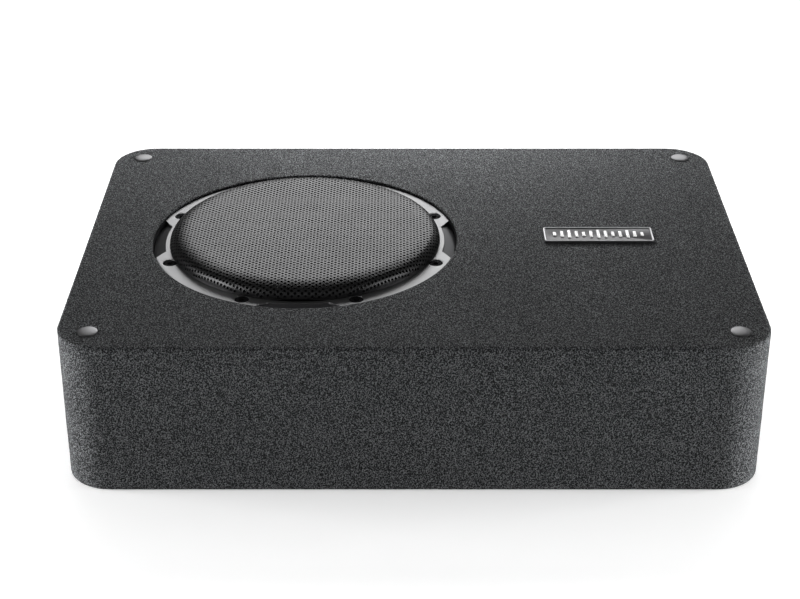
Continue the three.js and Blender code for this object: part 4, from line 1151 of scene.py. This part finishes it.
def plus_outline(half, arm, height):
    """The twelve corners of a cross whose arms reach half and are arm wide on each side."""
    return [tuple(Matrix.Rotation(k * math.pi / 2, 2) @ Vector(p)) + (height,)
            for k in range(4) for p in ((half, -arm), (half, arm), (arm, arm))]


def make_panel_screws():
    for k in range(1, 5):
        node = f"panel_screw_{k}"
        low, high = node_box(node)
        shell = Shell()
        top = high.y
        loops = [shell.loop(around((0, 0), radius, level)) for radius, level in (
            (1.05, low.y), (1.3, low.y + 0.5), (1.3, top - 1.5), (2.55, top - 0.25), (2.5, top - 0.08),
            (2.3, top))]
        shell.band(*loops)
        shell.area(loops[0])
        mouth = shell.loop(plus_outline(1.75, 0.42, top))
        pit = shell.loop(plus_outline(0.95, 0.3, top - 0.95))
        shell.band(mouth, pit)
        shell.area(pit)
        shell.area(loops[-1], mouth)
        back_piece(f"cross_screw_{k}", shell.shape(), "black_steel", nodes=[node], crease=30,
                   spot=on_panel(node))


def make_knobs():
    ridges = 24
    angles = [TAU * i / (ridges * 4) for i in range(ridges * 4)]
    for node, body in KNOBS.items():
        low, high = node_box(node)
        tip = high.y
        rows = [(2.7, low.y, 0), (3.0, low.y + 0.4, 0), (3.0, SEAT + 0.1, 0), (5.8, SEAT + 0.1, 0),
                (6.0, SEAT + 0.35, 0), (6.0, SEAT + 1.3, 0), (5.85, SEAT + 1.6, 0), (5.7, SEAT + 1.8, 0.32),
                (5.5, tip - 1.0, 0.32), (5.3, tip - 0.45, 0.2), (5.0, tip - 0.12, 0.05), (4.6, tip, 0),
                (4.2, tip - 0.25, 0)]
        loops = []
        for radius, level, groove in rows:
            reaches = [radius - groove * (0.5 - 0.5 * math.cos(ridges * angle)) for angle in angles]
            loops.append([(reach * math.cos(angle), reach * math.sin(angle), level)
                          for reach, angle in zip(reaches, angles)])
        back_piece(body + "_grip", lofted(loops), "plastic", body, [node], 35, knob_spots[node])
        line = soft_block((0.9, 4.2, 0.5), (0, 2.6, tip - 0.16), 0.1, 0.35)
        side = soft_block((0.9, 0.5, 5.6), (0, 5.6, tip - 3.9), 0.1, 0.2)
        back_piece(body + "_pointer", joined(line, side), "marks", body, [node], spot=knob_spots[node])


def make_marks():
    """Printed marks on the well's floor: a scale round each knob, and signs for the wires."""
    level = WELL_FLOOR + 0.05
    shapes = []
    for x, z in knob_spots.values():
        for k in range(11):
            size = (1.1, 0.32, 0.1) if k % 5 else (1.7, 0.5, 0.1)
            tick = soft_block(size, (7.5 + size[0] / 2, 0, 0), 0.03, 0.1, 2)
            turn = Matrix.Rotation(math.radians(90 + 140 - 28 * k), 3, "Z")
            shapes.append(moved(moved(tick, matrix=turn), (x, z, level)))
    tx, tz = terminal_spot
    signs = [((0.4, 1.4, 0.1), (switch_spot[0] + x, switch_spot[1] + 3.6, level)) for x in (-1.5, 1.5)]
    signs += [((3.0, 0.6, 0.1), (tx + x, tz + 12.6, level)) for x in (-WIRE_PITCH, WIRE_PITCH)]
    signs.append(((0.6, 3.0, 0.1), (tx + WIRE_PITCH, tz + 12.6, level)))
    shapes += [soft_block(size, place, 0.03, 0.1, 2) for size, place in signs]
    frame_line = Shell()
    loops = [frame_line.loop(oblong(input_spot, 38 + out, 20 + out, 2.5, level + up, 5))
             for out, up in ((0, 0.05), (0.7, 0.05), (0.7, -0.05), (0, -0.05))]
    frame_line.band(*loops, loops[0])
    back_piece("panel_marks", joined(*shapes, frame_line.shape()), "marks")


def make_phase_switch():
    low, high = node_box("phase_switch")
    width, height = high.x - low.x, high.z - low.z
    stem = soft_block((width - 0.5, height - 0.5, high.y - low.y - 1), (0, 0, (low.y + high.y) / 2 - 0.5),
                      0.2, 0.4)
    head = soft_block((width, height, 3.6), (0, 0, high.y - 1.8), 0.35, 0.6)
    ribs = [soft_block((width - 0.8, 0.34, 0.3), (0, v, high.y - 0.02 - 0.13), 0.08, 0.12, 2)
            for v in (-0.6, 0, 0.6)]
    back_piece("phase_lever", joined(stem, head, *ribs), "plastic", "phase", ["phase_switch"], 40,
               on_panel("phase_switch"))


def make_power_light():
    low, high = node_box("power_light")
    dome = [(2.2 * math.cos(math.radians(a)), high.y - 1.9 + 1.9 * math.sin(math.radians(a)))
            for a in range(0, 90, 10)]
    profile = [(0, low.y), (2.0, low.y), (2.2, low.y + 0.2)] + dome + [(0, high.y)]
    back_piece("light_lens", turned(profile, 40), "light", nodes=["power_light"], crease=50, spot=light_spot)
    collar = soften([(2.62, WELL_FLOOR - 0.2), (3.6, WELL_FLOOR - 0.2), (3.5, WELL_FLOOR + 0.5),
                     (2.7, WELL_FLOOR + 0.8)], 0.25)
    back_piece("light_collar", turned(collar, 40, True), "satin", crease=50, spot=light_spot)


def make_power_terminal():
    """A block with a square socket and a clamp for each wire, and a screw above it."""
    tip = SEAT + 11
    shell = Shell()
    loops = [shell.loop(oblong((0, 0), 40 - 2 * inset, 20 - 2 * inset, 1.2, level))
             for inset, level in ((0.3, SEAT), (0, SEAT + 0.3), (0, tip - 0.7), (0.2, tip - 0.2), (0.7, tip))]
    shell.band(*loops)
    mouths = []
    for x in WIRE_SPOTS:
        for spot, size, radius, depth in (((x, SOCKET_ROW), 9, 0.9, SEAT + 3),
                                          ((x, CLAMP_SCREW_ROW), 6.8, 3.39, SEAT + 8)):
            mouth = [shell.loop(oblong(spot, size + 2 * out, size + 2 * out, radius + out, level))
                     for out, level in ((0.25, tip), (0.08, tip - 0.1), (0, tip - 0.35), (0, depth))]
            shell.band(*mouth)
            shell.area(mouth[-1])
            mouths.append(mouth[0])
    shell.area(loops[-1], *mouths)
    shell.area(loops[0])
    back_piece("terminal_block", shell.shape(), "plastic", nodes=["power_terminal"], crease=35,
               spot=terminal_spot)
    foot = node_box("power_terminal")[0].y
    clamps, screws = [], []
    for x in WIRE_SPOTS:
        clamp, screw = Shell(), Shell()
        rows = ((7.6, SEAT + 3.2), (7.6, tip - 1.6), (7.2, tip - 1.4), (6.0, tip - 1.4), (5.6, tip - 1.6),
                (5.6, SEAT + 4.0))
        loops = [clamp.loop(oblong((x, SOCKET_ROW), size, size, 0.8 if size > 7 else 2.6, level))
                 for size, level in rows]
        clamp.band(*loops)
        clamp.area(loops[0])
        clamp.area(loops[-1])
        clamps.append(clamp.shape())
        loops = [screw.loop(around((x, CLAMP_SCREW_ROW), radius, level))
                 for radius, level in ((2.9, SEAT + 8.1), (2.9, tip - 0.9), (2.65, tip - 0.7))]
        socket = [screw.loop(around((x, CLAMP_SCREW_ROW), radius, level, 6))
                  for radius, level in ((1.6, tip - 0.7), (1.5, tip - 0.9), (1.5, tip - 2.0))]
        screw.band(*loops)
        screw.band(*socket)
        screw.area(loops[0])
        screw.area(loops[-1], socket[0])
        screw.area(socket[-1])
        screws.append(screw.shape())
    pins = [soft_block((4, 1.2, SEAT - foot + 0.4), (x, 0, (SEAT + foot) / 2 + 0.2), 0.15, 0.3)
            for x in WIRE_SPOTS]
    for name, shapes, look in (("terminal_clamps", clamps + pins, "gold"),
                               ("terminal_screws", screws, "steel")):
        back_piece(name, joined(*shapes), look, nodes=["power_terminal"], crease=35, spot=terminal_spot)


def make_fuse():
    low, high = node_box("fuse")
    tip = high.y
    profile = [(1.0, SEAT), (0.8, SEAT + 0.2), (0.8, SEAT + 3.0), (0.3, SEAT + 3.4), (0, SEAT + 3.8),
               (0, tip - 0.7), (0.2, tip - 0.2), (0.7, tip)]
    grip = lofted(plate_loops(19, 5.2, 1.4, profile, 5))
    lips = [soft_block((2.2, 0.5, 3.4), (x, side * 2.55, SEAT + 5.0), 0.15, 0.2, 2)
            for x in (-7, 7) for side in (-0.9, 0.9)]
    back_piece("fuse_grip", joined(grip, *lips), "fuse", nodes=["fuse"], crease=35, spot=fuse_spot)
    blades = [soft_block((4, 0.9, SEAT + 0.6 - low.y), (x, 0, (SEAT + 0.6 + low.y) / 2), 0.2, 0.4)
              for x in (-4.5, 4.5)]
    back_piece("fuse_blades", joined(*blades), "steel", nodes=["fuse"], crease=35, spot=fuse_spot)


def make_line_input():
    foot, tip = (corner.y for corner in node_box("line_input"))
    base = soft_block((34, 16, 3), (0, 0, SEAT + 1.5), 0.5, 1.6, 5)
    stalk = soft_block((23.6, 5.6, SEAT - foot + 0.6), (0, 0, (SEAT + foot) / 2 + 0.3), 0.3, 0.6)
    back_piece("input_base", joined(base, stalk), "plastic", nodes=["line_input"], crease=35, spot=input_spot)
    grooves = [(radius, SEAT + 4.4 + k * 1.1 + up) for k in range(5)
               for radius, up in ((4.2, 0), (4.2, 0.5), (4.02, 0.75))]
    barrel = [(3.4, SEAT + 2.8), (4.2, SEAT + 2.8), *grooves, (4.2, tip - 0.6), (4.05, tip - 0.12),
              (3.85, tip), (3.55, tip), (3.4, tip - 0.2)]
    core = soften([(1.6, SEAT + 3.1), (3.38, SEAT + 3.1), (3.38, tip - 0.8), (1.6, tip - 0.8)], 0.25)
    for side, x, colour in (("left", -8, "white_plastic"), ("right", 8, "red_plastic")):
        for name, profile, look in (("barrel", barrel, "gold"), ("core", core, colour)):
            back_piece(f"input_{name}_{side}", turned(profile, 40, True), look, nodes=["line_input"],
                       crease=35, spot=(input_spot[0] + x, input_spot[1]))


# ---------------------------------------------------------------- leads and soft pieces

GASKET_INNER_R = 91.2
LEAD_ROUTE = [(82, 17, 74), (72, 16.6, 73), (58, 14, 71), (46, 9, 75), (38.5, 7, 82.2)]
# Half of the 5.2 mm that the cord is given.
CABLE_R = 2.6
CABLE_END_Y = 110
CABLE_ROUTE = [(11.8, 0, 74), (18.5, 0.8, 74), (27.5, 6, 71.5), (33.5, 18.5, 64.5), (33.5, 38, 54),
               (27.5, 60, 46), (22.5, 78, 44), (22.5, 93, 46.5), (29, 104.5, 49.5), (39, 109.7, PANEL_Z),
               (52, CABLE_END_Y, PANEL_Z)]


def make_tinsel_leads():
    for name, side in (("front", -1), ("back", 1)):
        points = [Vector((WOOFER_X + x, side * y, z)) for x, y, z in LEAD_ROUTE]
        braid = tube(curve_through(points, 0.5), 0.78, 12, 4, 0.16, 2.4)
        made = piece(f"braided_lead_{name}", braid, "copper", None, [f"tinsel_lead_{name}"], 60)
        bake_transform(made)


def make_cable():
    """The speaker cable repeats its CAD node's route, and both of its ends go into the object."""
    places = curve_through(CABLE_ROUTE, 2.0)
    made = piece("cable_sheath", tube(places, CABLE_R, 16), "rubber", stands_for=["speaker_cable"], crease=60)
    grommet = soften([(2.75, -1.9), (5.8, -1.9), (5.8, -0.95), (4.3, -0.95), (4.3, 0.95), (5.8, 0.95),
                      (5.8, 1.9), (2.75, 1.9)], 0.4)
    across = Matrix(((0, 0, 1), (0, 1, 0), (1, 0, 0)))
    entry = (node_box("amp_cover")[0].x + 0.75, CABLE_END_Y, PANEL_Z)
    piece("cable_grommet", moved(turned(grommet, 40, True), entry, across), "rubber", crease=50)


def make_damping_pad():
    low, high = node_box("damping_pad")
    middle, rise = (low + high) / 2, high.z - low.z
    shoulder, level = 7.5, 21.5
    profile = [(7, 0), (3, 0.3), (1.2, 1.6), (0.3, 4), (0, 8), (0.2, 12), (0.9, 15.5), (2.2, 18.2),
               (4.4, 20.2), (shoulder, level)]
    profile += [(shoulder + k * 5.5, level + (rise - 0.6 - level) * math.sin(math.pi / 2 * k / 12))
                for k in range(1, 13)]

    def lumpy(x, y, z):
        lump = 0.9 * noise.noise(Vector((x, y, z)) * 0.09) if z > 2 else 0
        return middle.x + x, middle.y + y, low.z + min(z + lump, rise)

    loops = [[lumpy(*p) for p in loop]
             for loop in plate_loops(high.x - low.x, high.y - low.y, 12, profile, 10)]
    made = piece("wadding_pad", lofted(loops), "wadding", stands_for=["damping_pad"], crease=70)


def make_gasket():
    low, high = node_box("woofer_gasket")
    shell = Shell()
    rows = [(0.35, low.z), (0.1, low.z + 0.2), (0, low.z + 0.75), (0.1, high.z - 0.2), (0.35, high.z)]
    rims = [[shell.loop(around((0, 0), radius + sign * inset, z, 160)) for inset, z in rows]
            for radius, sign in ((GASKET_INNER_R, 1), ((high.x - low.x) / 2, -1))]
    for rim in rims:
        shell.band(*rim)
    holes = []
    for k in range(SCREWS):
        angle = TAU * (k + 0.5) / SCREWS
        spot = (SCREW_CIRCLE_R * math.cos(angle), SCREW_CIRCLE_R * math.sin(angle))
        holes.append([shell.loop(around(spot, 2.35, z, 20)) for z in (low.z, high.z)])
        shell.band(*holes[-1])
    for level in (0, -1):
        shell.area(rims[1][level], rims[0][level], *(pair[level] for pair in holes))
    made = piece("foam_gasket", moved(shell.shape(), woofer_at), "foam", stands_for=["woofer_gasket"],
                 crease=60)


# ---------------------------------------------------------------- everything that stays a CAD node

KEPT = {
    # The baffle board takes the near-black painted shade for the gap round the woofer.
    "stained": ["baffle_board"],
    "board": ["bottom_board", "front_wall", "back_wall", "left_wall", "right_wall"],
    "steel": ["top_plate", "back_plate"],
    "ferrite": ["magnet"],
    "satin": ["coil_former", "amp_cover"],
    "copper": ["coil_winding", "choke"],
    "plastic": ["terminal_strip", "grille_ring"],
    "circuit": ["amp_board"],
    "sleeve": ["capacitor_left", "capacitor_right"],
}


def finish_kept_nodes():
    for look, names in KEPT.items():
        for name in names:
            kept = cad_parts[name].data.materials
            kept.clear()
            kept.append(looks[look][0])


for make in (make_side_carpet, make_top_carpet, make_bottom_carpet, make_frame, make_flange_screws,
             make_grille, make_suspension, make_cone, make_caps, make_badge, make_panel, make_panel_screws,
             make_knobs, make_marks, make_phase_switch, make_power_light, make_power_terminal, make_fuse,
             make_line_input, make_tinsel_leads, make_cable, make_damping_pad, make_gasket,
             finish_kept_nodes):
    make()
